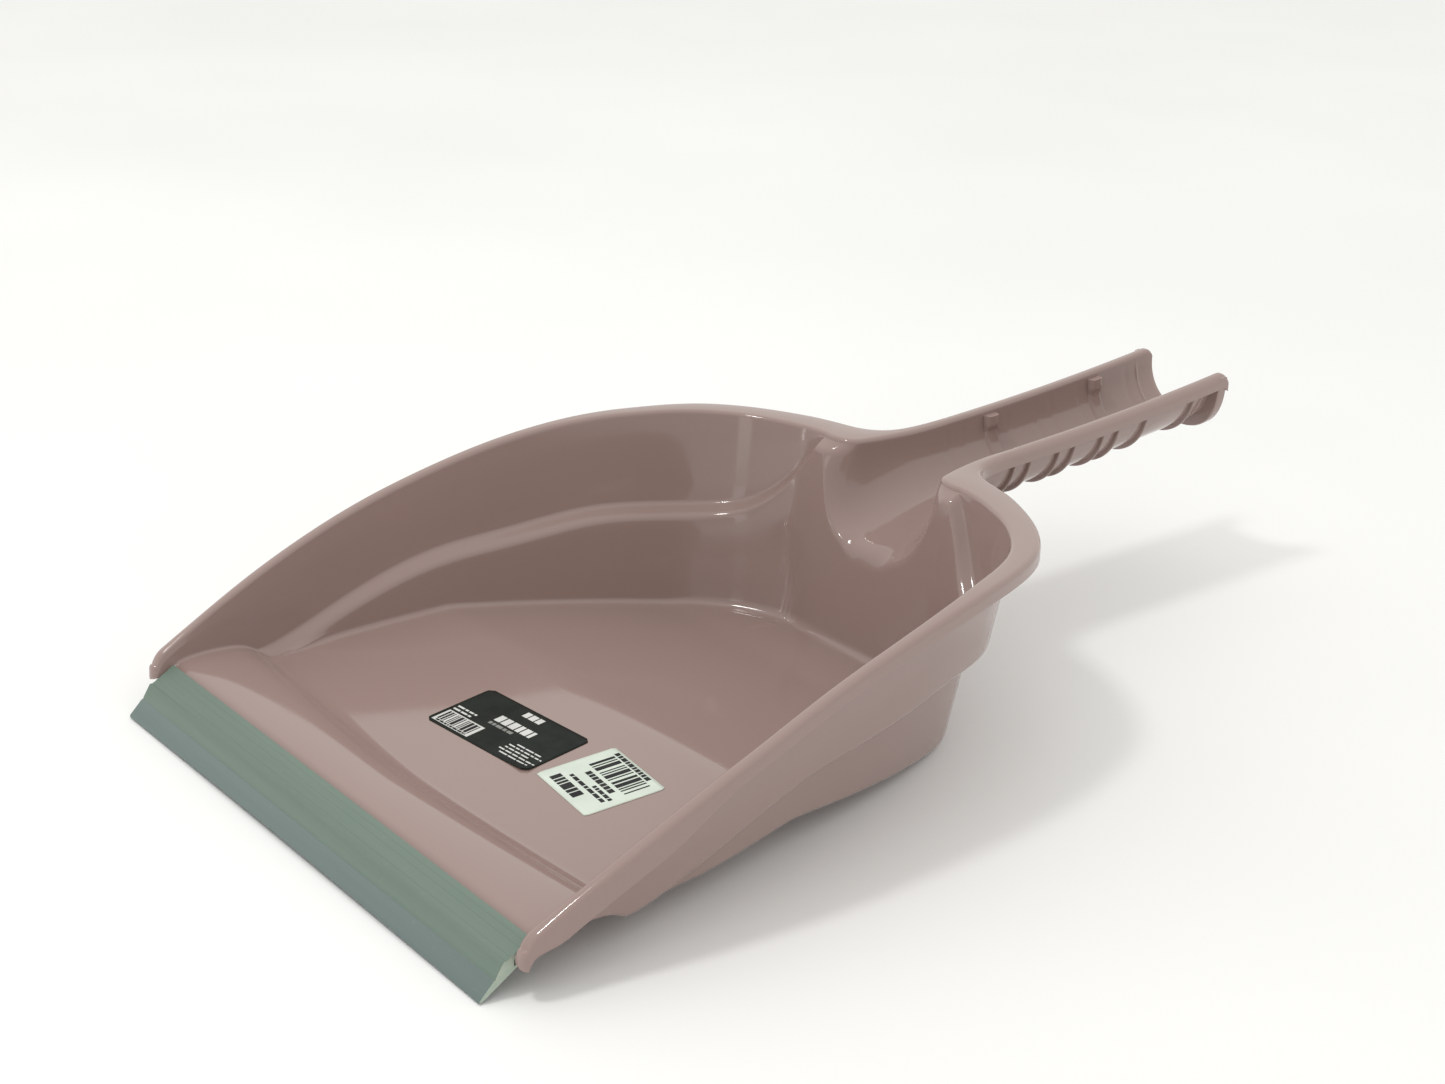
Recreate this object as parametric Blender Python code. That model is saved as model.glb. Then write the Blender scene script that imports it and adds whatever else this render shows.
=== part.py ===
"""Dustpan with a half-tube grip, a push-on rubber lip and two stick-on labels.

Metres, +Z up.  X runs across the pan, +Y towards the end of the grip.  The tip
of the lip and the back of the floor both touch the ground, z = 0.  Shapes are
worked out in millimetres from the tip of the lip and shifted at the end, so
that the origin lies under the middle of the bounding box.
"""
import math

import bmesh
import bpy
import numpy as np

# ---- driving dimensions, in millimetres -------------------------------------
LENGTH = 415.0           # tip of the lip to the end of the grip
LIP_LENGTH = 220.0       # the rubber lip, between the two side rails
WALL = 1.6               # thickness of the moulding
DRAFT = 0.17             # inward lean of every wall, per mm of depth
GAP = 0.3                # between touching pieces

RIM_FLAT = 74.4          # height of the rim around the back
RIM_FALL = 63.5          # how far it comes down at the lip
RIM_REACH = 205.0        # it is level behind this
RIM_POWER = 1.85
GRIP_RISE = 0.00033      # upward curve of the grip
GRIP_RISE_FROM = 250.0
SKIRT = 5.5              # depth of the turned-down edge of the rim
FRONT_SKIRT = 4.0        # extra depth of it along the front of the sides
FRONT_SKIRT_FROM = 58.0  # which fades out behind this
FRONT_SKIRT_FADE = 30.0
NOSE_SKIRT = 3.4         # less of it at the front ends
NOSE_SKIRT_FADE = 14.0
RIM_ROUND = 1.8          # outer edge of the rim
GRIP_ROUND = 2.8         # outer edge of the grip
INNER_ROUND = 1.7        # inner edge of the rim
NOSE = 4.0               # rounding of the rails' front ends
GRIP_END_ROUND = 3.0     # rounding of the grip's far end
ROUND_LIMIT = 0.85       # share of an end rounding that is followed

LEDGE = 6.5              # width of the step in the side wall
LEDGE_START = 2.8        # its width at the front ramp
LEDGE_FULL = 170.0       # it has its full width behind this
LEDGE_WIDENS = 110.0     # over this length
LEDGE_AT_MOUTH = 4.0     # its width where it meets the channel
LEDGE_FALL = 3.0         # its fall towards the floor
COVE = 4.5               # round where the walls meet the floor
LOW_WALL = 8.0           # below this height a wall leans more
LOW_WALL_LEAN = 2.0      # by this much
LOW_WALL_COVE = 3.0      # and meets the floor over this width

FRONT = 11.0             # front edge of the moulding, inside the lip
FOOT = 51.5              # foot of the front ramp, at the sides
FOOT_BOW = 7.0           # the foot comes forward this much in the middle
FOOT_TOP = 9.0           # top of the floor there
FOOT_HALF = 107.0
BOW_FROM = 15.0          # the ramp bows forward from here
BOW_RISE = 20.0          # and fully behind this much more
BOW_END = 60.0           # it fades out from here
BOW_FADE = 40.0
BOW_POWER = 1.4
CREASE = 124.0           # highest line of the floor
CREASE_TOP = 13.3        # top of the floor there
GROUND = 208.0           # the floor lies on the ground behind this

GRIP_HALF = 17.3         # inner half width of the channel in the grip
GRIP_OUTER = 22.8        # outer half width of the grip
GRIP_DEPTH = 21.5        # depth of the channel below the rim
FLARE_FROM = 288.0       # the channel widens in front of this
FLARE_LENGTH = 38.0
FLARE_WIDTH = 7.2        # how much wider each side is at the pan
MOUTH_DROP = 10.5        # fall of the channel floor at the pan
MOUTH_WALL = 252.5       # rear wall at rim height
MOUTH_SIDE_ROUND = 6.0   # rounding of the mouth, at its sides
MOUTH_FOOT_ROUND = 9.0   # and at its bottom
RIBS = (298.0, 306.5, 322.0, 330.5, 346.5, 355.0, 371.0, 398.5, 412.8)
RIB_HEIGHT = 1.9
RIB_WIDTH = 1.8
END_BAND = 3.6           # width of the last rib
TABS = (321.0, 379.5)    # locating tabs on both sides of the channel
TAB_LENGTH = 9.0
TAB_HEIGHT = 3.0

# Half outlines of the rim, from the front end of the rail round to the mouth.
RIM_INNER = ((111.4, 11), (113.2, 30), (114.4, 52), (115, 76), (114.4, 100),
             (112.3, 124), (109.9, 148), (106.2, 171), (100.5, 193), (92.5, 215),
             (83, 230), (70, 241), (58, 247), (46.5, 251), (36, 252.5))
RIM_OUTER = ((116.4, 11), (117.4, 30), (119, 52), (119.7, 76), (119.2, 100),
             (117.2, 124), (115, 148), (112, 171.5), (107.6, 194), (100.7, 217),
             (91.5, 235.5), (77.8, 248.8), (64, 257.2), (51.5, 262.8), (41, 265.8),
             (32.5, 268.6), (26.6, 273.6), (23.8, 281), (22.8, 291))
# Height of the step's upper corner at each point of RIM_INNER.
LEDGE_HEIGHT = (5, 9, 11.5, 19, 27.6, 33.8, 36, 38.2, 39.8, 38.8,
                38.8, 41, 47, 58, 71.5)
# Ramp behind the lip, (y, height of its top).
RAMP = ((11, 9.3), (18, 13.8), (24, 15.3), (30, 15.6), (36, 15.2),
        (43, 13.9), (48, 12.2), (51.5, 10.9), (55.5, 9.25))
RAMP_END_SLOPE = 0.5     # its slope beyond the last of those
FOOT_BLEND = 0.5         # width of the soft corner at its foot

# Lip: outline of its cross-section in front of and above the moulding, (y, z).
LIP_TOP = ((17.8, 15.2), (8.2, 9.7), (7.3, 8.9), (5.6, 6.4), (4.6, 5.3), (0.4, 0.9))
LIP_TIP = ((0.0, 0.0), (1.0, 0.0), (6.2, 3.2))
LIP_LEAF = 1.1           # thickness of its lower leaf
LIP_SLACK = 0.1          # extra room for the moulding in its slot
LIP_BOW = 1.2            # rise of the tip in the middle

# Labels on the front part of the floor: centre, size, turn in degrees.
PRODUCT_LABEL = ((-6.5, 88.0), (53.0, 28.6), 5.0)
PRICE_LABEL = ((41.7, 91.4), (32.4, 29.6), -6.5)
LABEL_ROUND = 2.2
LABEL_THICKNESS = 0.25

# ---- mesh density ------------------------------------------------------------
PLACES = (0, 0.22, 0.46, 0.7, 0.96, 1.3, 1.65, 2, 2.4, 2.9, 3.5, 4.25, 5, 5.75, 6.5,
          7.25, 8, 8.6, 9.2, 9.7, 10.2, 10.8, 11.4, 12, 12.7, 13.4, 14)
CORNER = 19              # the column where the floor's side becomes its back
UPPER_ROWS = 1           # between the rim and the step
LEDGE_ROWS = 1
LOWER_ROWS = 2
COVE_ROWS = 3
MOUTH_ROWS = 3           # rounding of the mouth
FLARE_PLACES = (262, 270, 279, 290)
GRIP_PLACES = (310, 345, 380, 405, 412, 413.8, 415)
BELOW_MOUTH = 4          # columns of the rear wall under the mouth
MM = 0.001
SMOOTH_ANGLE = math.radians(32)


# ---- curves --------------------------------------------------------------------
def spline(points, t):
    """Natural cubic spline through points, read at t = 0 .. number - 1."""
    points = np.asarray(points, float)
    last = len(points) - 1
    matrix = np.eye(last + 1)
    right = np.zeros_like(points)
    for i in range(1, last):
        matrix[i, i - 1:i + 2] = (1, 4, 1)
        right[i] = 6 * (points[i + 1] - 2 * points[i] + points[i - 1])
    bend = np.linalg.solve(matrix, right)
    s = np.clip(np.asarray(t, float), 0, last)
    i = np.minimum(s.astype(int), last - 1)
    u = (s - i).reshape(s.shape + (1,) * (points.ndim - 1))
    v = 1 - u
    return (v * points[i] + u * points[i + 1]
            + (v ** 3 - v) * bend[i] / 6 + (u ** 3 - u) * bend[i + 1] / 6)


def ease(value):
    v = np.clip(value, 0, 1)
    return v * v * (3 - 2 * v)


def soft_max(a, b, width):
    return (a + b + np.sqrt((a - b) ** 2 + width ** 2)) / 2


def bezier(a, b, c, f):
    return (1 - f) ** 2 * a + 2 * f * (1 - f) * b + f * f * c


def drop(over, radius):
    """How far a rounding of this radius has come down, this far into it."""
    over = np.clip(over, 0, radius * ROUND_LIMIT)
    return radius - np.sqrt(radius ** 2 - over ** 2)


def rim_height(y):
    fall = RIM_FALL * np.clip(1 - y / RIM_REACH, 0, 1) ** RIM_POWER
    rise = GRIP_RISE * np.maximum(y - GRIP_RISE_FROM, 0) ** 2
    ends = drop(FRONT + NOSE - y, NOSE) + drop(y - LENGTH + GRIP_END_ROUND, GRIP_END_ROUND)
    return RIM_FLAT - fall + rise - ends


def bow(x, y):
    """How far the front ramp comes forward here, against the sides."""
    fade = (1 - ease((y - BOW_END) / BOW_FADE)) * ease((y - BOW_FROM) / BOW_RISE)
    return FOOT_BOW * (1 - np.clip(np.abs(x) / FOOT_HALF, 0, 1) ** BOW_POWER) * fade


def floor_height(x, y):
    """Top of the floor: ramp, rising front part, falling back part, level end."""
    ramp_y, ramp_z = np.array(RAMP).T
    v = y + bow(x, y)
    ramp = spline(ramp_z, np.interp(v, ramp_y, np.arange(len(ramp_y))))
    ramp = ramp - RAMP_END_SLOPE * np.maximum(v - ramp_y[-1], 0)
    front = FOOT_TOP + (y - FOOT) * (CREASE_TOP - FOOT_TOP) / (CREASE - FOOT)
    back = CREASE_TOP - (y - CREASE) * (CREASE_TOP - WALL) / (GROUND - CREASE)
    floor = np.maximum(np.minimum(front, back), WALL)
    return soft_max(ramp, floor, FOOT_BLEND)


# ---- rim, walls and floor of the pan ---------------------------------------------
def rail(inner, outer, rounding):
    """Skirt, outer rounding, flat top and inner rounding of the rim, by column."""
    inner, outer = np.asarray(inner, float), np.asarray(outer, float)
    height = rim_height((inner[:, 1] + outer[:, 1]) / 2)
    far_end = inner[:, 1] > LENGTH - 2 * GRIP_END_ROUND
    height[far_end] = rim_height(inner[far_end, 1])
    from_outer, from_inner = sideways(outer), -sideways(inner)
    fade = 1 - ease((outer[:, 1] - FRONT_SKIRT_FROM) / FRONT_SKIRT_FADE)
    nose_fade = 1 - ease((outer[:, 1] - FRONT) / NOSE_SKIRT_FADE)
    skirt = SKIRT + FRONT_SKIRT * fade - NOSE_SKIRT * nose_fade
    turn = 1 - math.sqrt(0.5)
    rows = []
    for edge, into, profile in (
            (outer, from_outer, ((0, skirt), (0, rounding), (turn * rounding, turn * rounding),
                                 (rounding, 0))),
            (inner, from_inner, ((INNER_ROUND, 0), (turn * INNER_ROUND, turn * INNER_ROUND),
                                 (0, INNER_ROUND)))):
        for a, b in profile:
            rows.append(np.column_stack([edge + into * np.reshape(a, (-1, 1)), height - b]))
    return np.stack(rows, 1), height


def sideways(edge):
    """Unit normals of an open outline, towards its left."""
    steps = np.diff(edge, axis=0)
    steps /= np.linalg.norm(steps, axis=1)[:, None]
    along = np.concatenate([steps[:1], steps[:-1] + steps[1:], steps[-1:]])
    along /= np.linalg.norm(along, axis=1)[:, None]
    return np.column_stack([-along[:, 1], along[:, 0]])


def wall_inset(depth, ledge_depth, ledge):
    """How far the wall stands inside the rim at a depth below it."""
    return DRAFT * depth + ledge * np.clip((depth - ledge_depth) / LEDGE_FALL, 0, 1)


def bowl():
    """Columns from the front end of the rail to the mouth: rail and wall points."""
    t = np.array(PLACES, float)
    inner, outer = spline(RIM_INNER, t), spline(RIM_OUTER, t)
    along = spline(RIM_INNER, t + 0.01) - spline(RIM_INNER, t - 0.01)
    inward = np.column_stack([-along[:, 1], along[:, 0]])
    inward[-1] = (0, -1)
    inward /= np.linalg.norm(inward, axis=1)[:, None]
    top, rim = rail(inner, outer, np.full(len(t), RIM_ROUND))
    ledge = LEDGE + (LEDGE_AT_MOUTH - LEDGE) * ease((t - 10) / 4)
    ledge -= (LEDGE - LEDGE_START) * np.clip((LEDGE_FULL - inner[:, 1]) / LEDGE_WIDENS, 0, 1) ** 1.2
    ledge_depth = rim - spline(LEDGE_HEIGHT, t)

    def floor_below(inset):
        place = inner + inward * inset[:, None]
        return floor_height(place[:, 0], place[:, 1])

    low, high = np.zeros(len(t)), rim.copy()
    for _ in range(40):
        depth = (low + high) / 2
        above = rim - depth > floor_below(wall_inset(depth, ledge_depth, ledge))
        low, high = np.where(above, depth, low), np.where(above, high, depth)
    upper = np.minimum(ledge_depth, depth)
    shelf = np.maximum(np.minimum(ledge_depth + LEDGE_FALL, depth), upper)
    below = ease((depth - shelf) / LOW_WALL)
    cove = np.minimum(COVE, 0.5 * (depth - shelf))
    bottom = depth - cove
    insets, depths = [DRAFT * INNER_ROUND + 0 * t], [INNER_ROUND + 0 * t]
    for f in np.linspace(0, 1, UPPER_ROWS + 1)[1:]:
        depths.append(INNER_ROUND + (upper - INNER_ROUND) * f)
        insets.append(DRAFT * depths[-1])
    for f in np.linspace(0, 1, LEDGE_ROWS + 1)[1:]:
        depths.append(upper + (shelf - upper) * f)
        insets.append(DRAFT * depths[-1] + ledge * f)
    for f in np.linspace(0, 1, LOWER_ROWS + 1)[1:]:
        depths.append(shelf + (bottom - shelf) * f)
        insets.append(DRAFT * depths[-1] + ledge + LOW_WALL_LEAN * f * (1 - below))
    wall = []
    for inset, d in zip(insets, depths):
        place = inner + inward * inset[:, None]
        height = np.maximum(rim - d, floor_below(inset))
        wall.append(np.column_stack([place, height]))
    wall[0] = top[:, -1]
    last = insets[-1]
    corner = last + DRAFT * cove
    foot = corner + np.maximum(cove, LOW_WALL_COVE * (1 - below))
    a = wall[-1]
    b = np.column_stack([inner + inward * corner[:, None], floor_below(corner)])
    c = np.column_stack([inner + inward * foot[:, None], floor_below(foot)])
    wall += [bezier(a, b, c, f) for f in np.linspace(0, 1, COVE_ROWS + 1)[1:]]
    upper_depths = [d[-1] for d in depths[:UPPER_ROWS + LEDGE_ROWS + 1]]
    return top, np.stack(wall, 1), (rim[-1], ledge_depth[-1], ledge[-1]), upper_depths


def floor_patch(side, back):
    """Grid over the floor between its side edge, its back edge and the middle."""
    last = side[-1]
    columns = len(back) - 1
    share = np.clip((side[:, 1] - CREASE) / (last[1] - CREASE), 0, 1)
    stretch = (back[-1, 1] - CREASE) / (last[1] - CREASE)
    v_side = side[:, 1]
    v_middle = np.where(v_side > CREASE, CREASE + (v_side - CREASE) * stretch, v_side)
    grid = np.zeros((len(side), columns + 1, 3))
    for j in range(columns + 1):
        w = j / columns
        straight = (1 - w) * back[0, :2] + w * back[-1, :2]
        shift = back[j, :2] - straight
        x = (1 - w) * side[:, 0] + share * shift[0]
        v = (1 - w) * v_side + w * v_middle + share * shift[1]
        y = v.copy()
        for _ in range(30):
            y = v - bow(x, y) + bow(side[:, 0], side[:, 1])
        grid[:, j] = np.column_stack([x, y, floor_height(x, y)])
    grid[:, 0] = side
    grid[-1] = back
    return grid


# ---- mouth and grip ------------------------------------------------------------------
def channel(y, share):
    """Point of the channel's section: share 0 is its rim, 1 its lowest line."""
    forward = np.clip((FLARE_FROM - y) / FLARE_LENGTH, 0, 1.06)
    half = GRIP_HALF + FLARE_WIDTH * forward ** 1.8
    round_power = 2 / (0.95 - 0.2 * ease(forward))
    top = rim_height(y)
    ends = drop(y - LENGTH + GRIP_END_ROUND, GRIP_END_ROUND)
    deep = GRIP_DEPTH + MOUTH_DROP * np.clip((FLARE_FROM - y) / FLARE_LENGTH, 0, 1) ** 2 - ends
    start = INNER_ROUND / deep
    angle = share * math.pi / 2
    down = start + (1 - start) * np.sin(angle) ** (2 / round_power)
    x = half * np.maximum(1 - ((down - start) / (1 - start)) ** round_power, 0) ** (1 / round_power)
    return np.array([np.where(share >= 1, 0, x), y, top - deep * down])


def mouth_share(depth):
    """Share of the channel's section that lies this deep at the mouth."""
    deep = GRIP_DEPTH + MOUTH_DROP
    start = INNER_ROUND / deep
    down = max((depth / deep - start) / (1 - start), 0)
    return math.asin(down ** (1 / 0.75)) * 2 / math.pi


def mouth(corner_wall, shares):
    """Rounded edge where the channel opens into the rear wall, by share."""
    rim, ledge_depth, ledge = corner_wall
    rows = []
    for share in shares:
        y = MOUTH_WALL
        for _ in range(30):
            c = channel(y, share)
            y = MOUTH_WALL - wall_inset(rim - c[2], ledge_depth, ledge)
        c = channel(y, share)
        size = MOUTH_SIDE_ROUND + (MOUTH_FOOT_ROUND - MOUTH_SIDE_ROUND) * ease(share)
        e = channel(y + size, share)
        nearby = channel(y, min(share + 0.01, 1)) - channel(y, max(share - 0.01, 0))
        outward = np.array([-nearby[2], 0, nearby[0]])
        outward /= np.linalg.norm(outward)
        if share == 0:
            outward = np.array([1.0, 0, 0])
        if share == 1:
            outward = np.array([0, 0, -1.0])
        b = c + outward * size
        b[1] = MOUTH_WALL - wall_inset(rim - b[2], ledge_depth, ledge)
        rows.append([bezier(b, c, e, f) for f in np.linspace(0, 1, MOUTH_ROWS + 1)])
    return np.array(rows)


# ---- mesh helpers ----------------------------------------------------------------------
def metres(points):
    points = np.asarray(points, float)
    return (points - (0, LENGTH / 2, 0)) * MM


class Sheet:
    """Quads gathered from grids of points and welded where the points agree."""

    def __init__(self):
        self.points = []
        self.faces = []
        self.index = {}

    def add(self, point):
        key = tuple(int(round(c * 1000)) for c in point)
        if key not in self.index:
            self.index[key] = len(self.points)
            self.points.append(tuple(float(c) for c in point))
        return self.index[key]

    def grid(self, grid):
        ids = [[self.add(p) for p in row] for row in grid]
        for a, b in zip(ids, ids[1:]):
            for i in range(len(a) - 1):
                face = (a[i], a[i + 1], b[i + 1], b[i])
                face = tuple(dict.fromkeys(face))
                if len(face) > 2:
                    self.faces.append(face)

    def mirror(self):
        other = [self.add((-x if abs(x) > 1e-6 else 0.0, y, z)) for x, y, z in list(self.points)]
        self.faces += [tuple(other[i] for i in reversed(f)) for f in list(self.faces)]


def new_object(name, points, faces):
    mesh = bpy.data.meshes.new(name)
    mesh.from_pydata([tuple(p) for p in points], [], faces)
    mesh.shade_smooth()
    mesh.set_sharp_from_angle(angle=SMOOTH_ANGLE)
    body = bpy.data.objects.new(name, mesh)
    bpy.context.scene.collection.objects.link(body)
    return body


def tidy_normals(body):
    work = bmesh.new()
    work.from_mesh(body.data)
    bmesh.ops.recalc_face_normals(work, faces=work.faces)
    work.to_mesh(body.data)
    work.free()


def closed_loft(name, sections):
    """Closed body through matching closed sections, with flat end faces."""
    count = len(sections[0])
    points = [p for s in sections for p in metres(s)]
    faces = [tuple(range(count))]
    for j in range(len(sections) - 1):
        for i in range(count):
            k = (i + 1) % count
            faces.append((j * count + i, j * count + k, (j + 1) * count + k, (j + 1) * count + i))
    faces.append(tuple(reversed(range((len(sections) - 1) * count, len(sections) * count))))
    body = new_object(name, points, faces)
    tidy_normals(body)
    return body


def join(body, others):
    for other in others:
        other.hide_render = True
        other.display_type = 'WIRE'
        union = body.modifiers.new(other.name, 'BOOLEAN')
        union.operation = 'UNION'
        union.solver = 'EXACT'
        union.object = other


def plain_material(name, colour, roughness):
    material = bpy.data.materials.new(name)
    material.use_nodes = True
    shader = material.node_tree.nodes['Principled BSDF']
    shader.inputs['Base Color'].default_value = (*colour, 1)
    shader.inputs['Roughness'].default_value = roughness
    return material


# ---- pieces ------------------------------------------------------------------------------
def pan_sheet():
    """Upper surface of the moulding."""
    top, wall, corner_wall, upper_depths = bowl()
    rows = UPPER_ROWS + LEDGE_ROWS + LOWER_ROWS
    middle_x = [wall[-1, 0, 0] * (1 - j / BELOW_MOUTH) for j in range(1, BELOW_MOUTH + 1)]
    below = np.stack([wall[-1, rows:] * (0, 1, 1) + (x, 0, 0) for x in middle_x])
    sheet = Sheet()
    sheet.grid(top)
    sheet.grid(wall)
    sheet.grid(np.concatenate([wall[-1:, rows:], below]))
    edge = np.concatenate([wall[:, -1], below[:, -1]])
    sheet.grid(floor_patch(edge[:CORNER + 1], edge[CORNER:]))

    shares = [mouth_share(d) for d in upper_depths]
    shares += list(np.linspace(shares[-1], 1, LOWER_ROWS + BELOW_MOUTH + 1)[1:])
    opening = mouth(corner_wall, shares)
    frame = np.concatenate([wall[-1, :rows + 1], below[:, 0]])
    sheet.grid(np.stack([frame, opening[:, 0]]))
    sheet.grid(opening)
    places = FLARE_PLACES + GRIP_PLACES
    even = np.linspace(0, 1, len(shares))
    tube = np.array([[channel(y, m + (e - m) * ease((y - 255) / 35)) for y in places]
                     for m, e in zip(shares, even)])
    tube = np.concatenate([opening[:, -1:], tube], 1)
    sheet.grid(tube)

    edge = np.concatenate([frame[:1], opening[0], tube[0, 1:]])
    run = np.concatenate([[0], np.cumsum(np.linalg.norm(np.diff(edge[:, :2], axis=0), axis=1))])
    turned = edge[:, 1] < RIBS[0]
    end = run[turned][-1]
    outer = spline(RIM_OUTER, 14 + 4 * run / end)
    outer[~turned] = np.column_stack([0 * edge[~turned, 1] + GRIP_OUTER, edge[~turned, 1]])
    rounding = RIM_ROUND + (GRIP_ROUND - RIM_ROUND) * np.clip(run / end, 0, 1)
    grip_rail, _ = rail(edge[:, :2], outer, rounding)
    grip_rail[:, -1] = edge
    grip_rail[0] = top[-1]
    sheet.grid(grip_rail)
    sheet.mirror()
    return sheet


def rib(y, width):
    """A fin round the outside of the grip."""
    shares = np.linspace(0, 1, 6)
    half = np.array([channel(y, s) for s in shares])
    curve = np.concatenate([half * (-1, 1, 1), half[-2::-1]])[:, [0, 2]]
    along = np.gradient(curve, axis=0)
    outward = np.column_stack([along[:, 1], -along[:, 0]])
    outward /= np.linalg.norm(outward, axis=1)[:, None]
    outward[0], outward[-1] = (-1, 0), (1, 0)
    near = curve + outward * WALL / 2
    far = curve + outward * (WALL + RIB_HEIGHT)
    under = rim_height(y) - WALL / 2
    near[[0, -1], 1], far[[0, -1], 1] = under, under
    ring = np.concatenate([near, far[::-1]])
    return closed_loft('rib_%d' % y, [[(x, place, z) for x, z in ring]
                                      for place in (y - width / 2, y + width / 2)])


def tab(y, side):
    """A wedge on the channel's wall, thick at the rim and running out below."""
    shares = np.linspace(0.02, 0.55, 5)
    wall = np.array([channel(y, s) for s in shares])[:, [0, 2]]
    inside = wall - [(TAB_HEIGHT * (1 - s / 0.65), 0) for s in shares]
    embedded = wall + [(WALL / 2, -WALL * s / 2) for s in shares]
    ring = np.concatenate([inside, embedded[::-1]])
    return closed_loft('tab_%d_%d' % (y, side), [[(side * x, place, z) for x, z in ring]
                                                 for place in (y - TAB_LENGTH / 2,
                                                               y + TAB_LENGTH / 2)])


def build_pan():
    sheet = pan_sheet()
    pan = new_object('pan', metres(sheet.points), sheet.faces)
    tidy_normals(pan)
    lowest = min(pan.data.polygons, key=lambda f: f.center.z)
    if lowest.normal.z < 0:
        pan.data.flip_normals()
    shell = pan.modifiers.new('thickness', 'SOLIDIFY')
    shell.thickness = WALL * MM
    shell.offset = -1
    shell.use_even_offset = True
    shell.use_quality_normals = True
    fins = [rib(y, END_BAND if y == RIBS[-1] else RIB_WIDTH) for y in RIBS]
    fins += [tab(y, side) for y in TABS for side in (-1, 1)]
    join(pan, fins)
    pan.data.materials.append(plain_material('pan_plastic', (0.46, 0.31, 0.28), 0.25))
    return pan


def build_lip():
    """Clip round the front edge of the moulding, and the blade in front of it."""
    places = np.linspace(-LIP_LENGTH / 2, LIP_LENGTH / 2, 13)
    ramp_y = np.array([FRONT - GAP, FRONT + 0.5, 14.5, LIP_TOP[0][0]])
    clear = GAP + LIP_SLACK
    sections = []
    for x in places:
        top = floor_height(x, np.maximum(ramp_y, FRONT))
        slope = (top[-1] - top[0]) / (ramp_y[-1] - ramp_y[0])
        thick = WALL * math.hypot(1, slope)
        slot = [(y, z + clear) for y, z in zip(ramp_y[::-1], top[::-1])]
        slot += [(y, z - thick - clear) for y, z in zip(ramp_y, top)]
        leaf = [(y, z - thick - GAP - LIP_LEAF) for y, z in zip(ramp_y[::-1], top[::-1])]
        outline = [*LIP_TOP, *LIP_TIP, *reversed(leaf), *reversed(slot)]
        rise = LIP_BOW * (1 - (2 * x / LIP_LENGTH) ** 2)
        sections.append([(x, y, z + rise * max(0, 1 - y / 6)) for y, z in outline])
    lip = closed_loft('rubber_lip', sections)
    lip.data.materials.append(plain_material('lip_rubber', (0.2, 0.24, 0.21), 0.5))
    return lip


def build_label(name, label, colour):
    (centre_x, centre_y), (width, height), turn = label
    outline = []
    for sx, sy, start in ((1, 1, 0), (-1, 1, 90), (-1, -1, 180), (1, -1, 270)):
        for step in range(4):
            a = math.radians(start + step * 30)
            outline.append((sx * (width / 2 - LABEL_ROUND) + LABEL_ROUND * math.cos(a),
                            sy * (height / 2 - LABEL_ROUND) + LABEL_ROUND * math.sin(a)))
    turn = math.radians(turn)
    sections = []
    for lift in (GAP, GAP + LABEL_THICKNESS):
        section = []
        for x, y in outline:
            px = centre_x + x * math.cos(turn) - y * math.sin(turn)
            py = centre_y + x * math.sin(turn) + y * math.cos(turn)
            slope = (CREASE_TOP - FOOT_TOP) / (CREASE - FOOT)
            section.append((px, py, FOOT_TOP + (py - FOOT) * slope + lift))
        sections.append(section)
    label = closed_loft(name, sections)
    label.data.materials.append(plain_material(name + '_film', colour, 0.35))
    return label


def main():
    for item in list(bpy.data.objects):
        bpy.data.objects.remove(item)
    build_pan()
    build_lip()
    build_label('product_label', PRODUCT_LABEL, (0.02, 0.025, 0.02))
    build_label('price_label', PRICE_LABEL, (0.7, 0.78, 0.7))


main()
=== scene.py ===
"""Studio scene of a moulded plastic dustpan with a rubber lip and two stick-on labels."""
import math
import random

import bmesh
import bpy
import numpy as np
from mathutils import Matrix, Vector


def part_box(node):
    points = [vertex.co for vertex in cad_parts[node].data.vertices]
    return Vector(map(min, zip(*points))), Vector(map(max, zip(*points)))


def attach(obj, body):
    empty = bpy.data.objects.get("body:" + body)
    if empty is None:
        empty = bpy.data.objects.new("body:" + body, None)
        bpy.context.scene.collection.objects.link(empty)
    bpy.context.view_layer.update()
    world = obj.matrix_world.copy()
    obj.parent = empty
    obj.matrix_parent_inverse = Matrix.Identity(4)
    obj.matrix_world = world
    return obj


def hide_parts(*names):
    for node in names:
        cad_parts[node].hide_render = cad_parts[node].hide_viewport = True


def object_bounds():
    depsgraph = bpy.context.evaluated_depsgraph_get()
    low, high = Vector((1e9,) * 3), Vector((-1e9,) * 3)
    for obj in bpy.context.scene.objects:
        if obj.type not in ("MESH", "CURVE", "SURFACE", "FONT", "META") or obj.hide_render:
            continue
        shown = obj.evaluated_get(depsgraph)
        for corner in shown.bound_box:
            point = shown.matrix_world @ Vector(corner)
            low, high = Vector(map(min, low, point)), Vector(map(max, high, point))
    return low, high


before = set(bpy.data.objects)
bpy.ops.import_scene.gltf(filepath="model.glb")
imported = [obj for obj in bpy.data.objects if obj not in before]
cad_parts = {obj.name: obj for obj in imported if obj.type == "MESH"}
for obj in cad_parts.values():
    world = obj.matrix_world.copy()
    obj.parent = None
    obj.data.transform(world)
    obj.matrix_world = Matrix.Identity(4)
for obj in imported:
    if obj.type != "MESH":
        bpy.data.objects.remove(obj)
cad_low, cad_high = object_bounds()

# ---- driving dimensions in millimetres, from the tip of the lip ----
SHORT_BY = 0.2           # the sheet stops this much before the part's far end
LENGTH = (cad_high.y - cad_low.y) * 1000 - SHORT_BY
TIP_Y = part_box("rubber_lip")[0].y
LIP_LENGTH = (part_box("rubber_lip")[1].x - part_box("rubber_lip")[0].x) * 1000
MM = 0.001
WALL = 1.6               # thickness of the moulding
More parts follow.
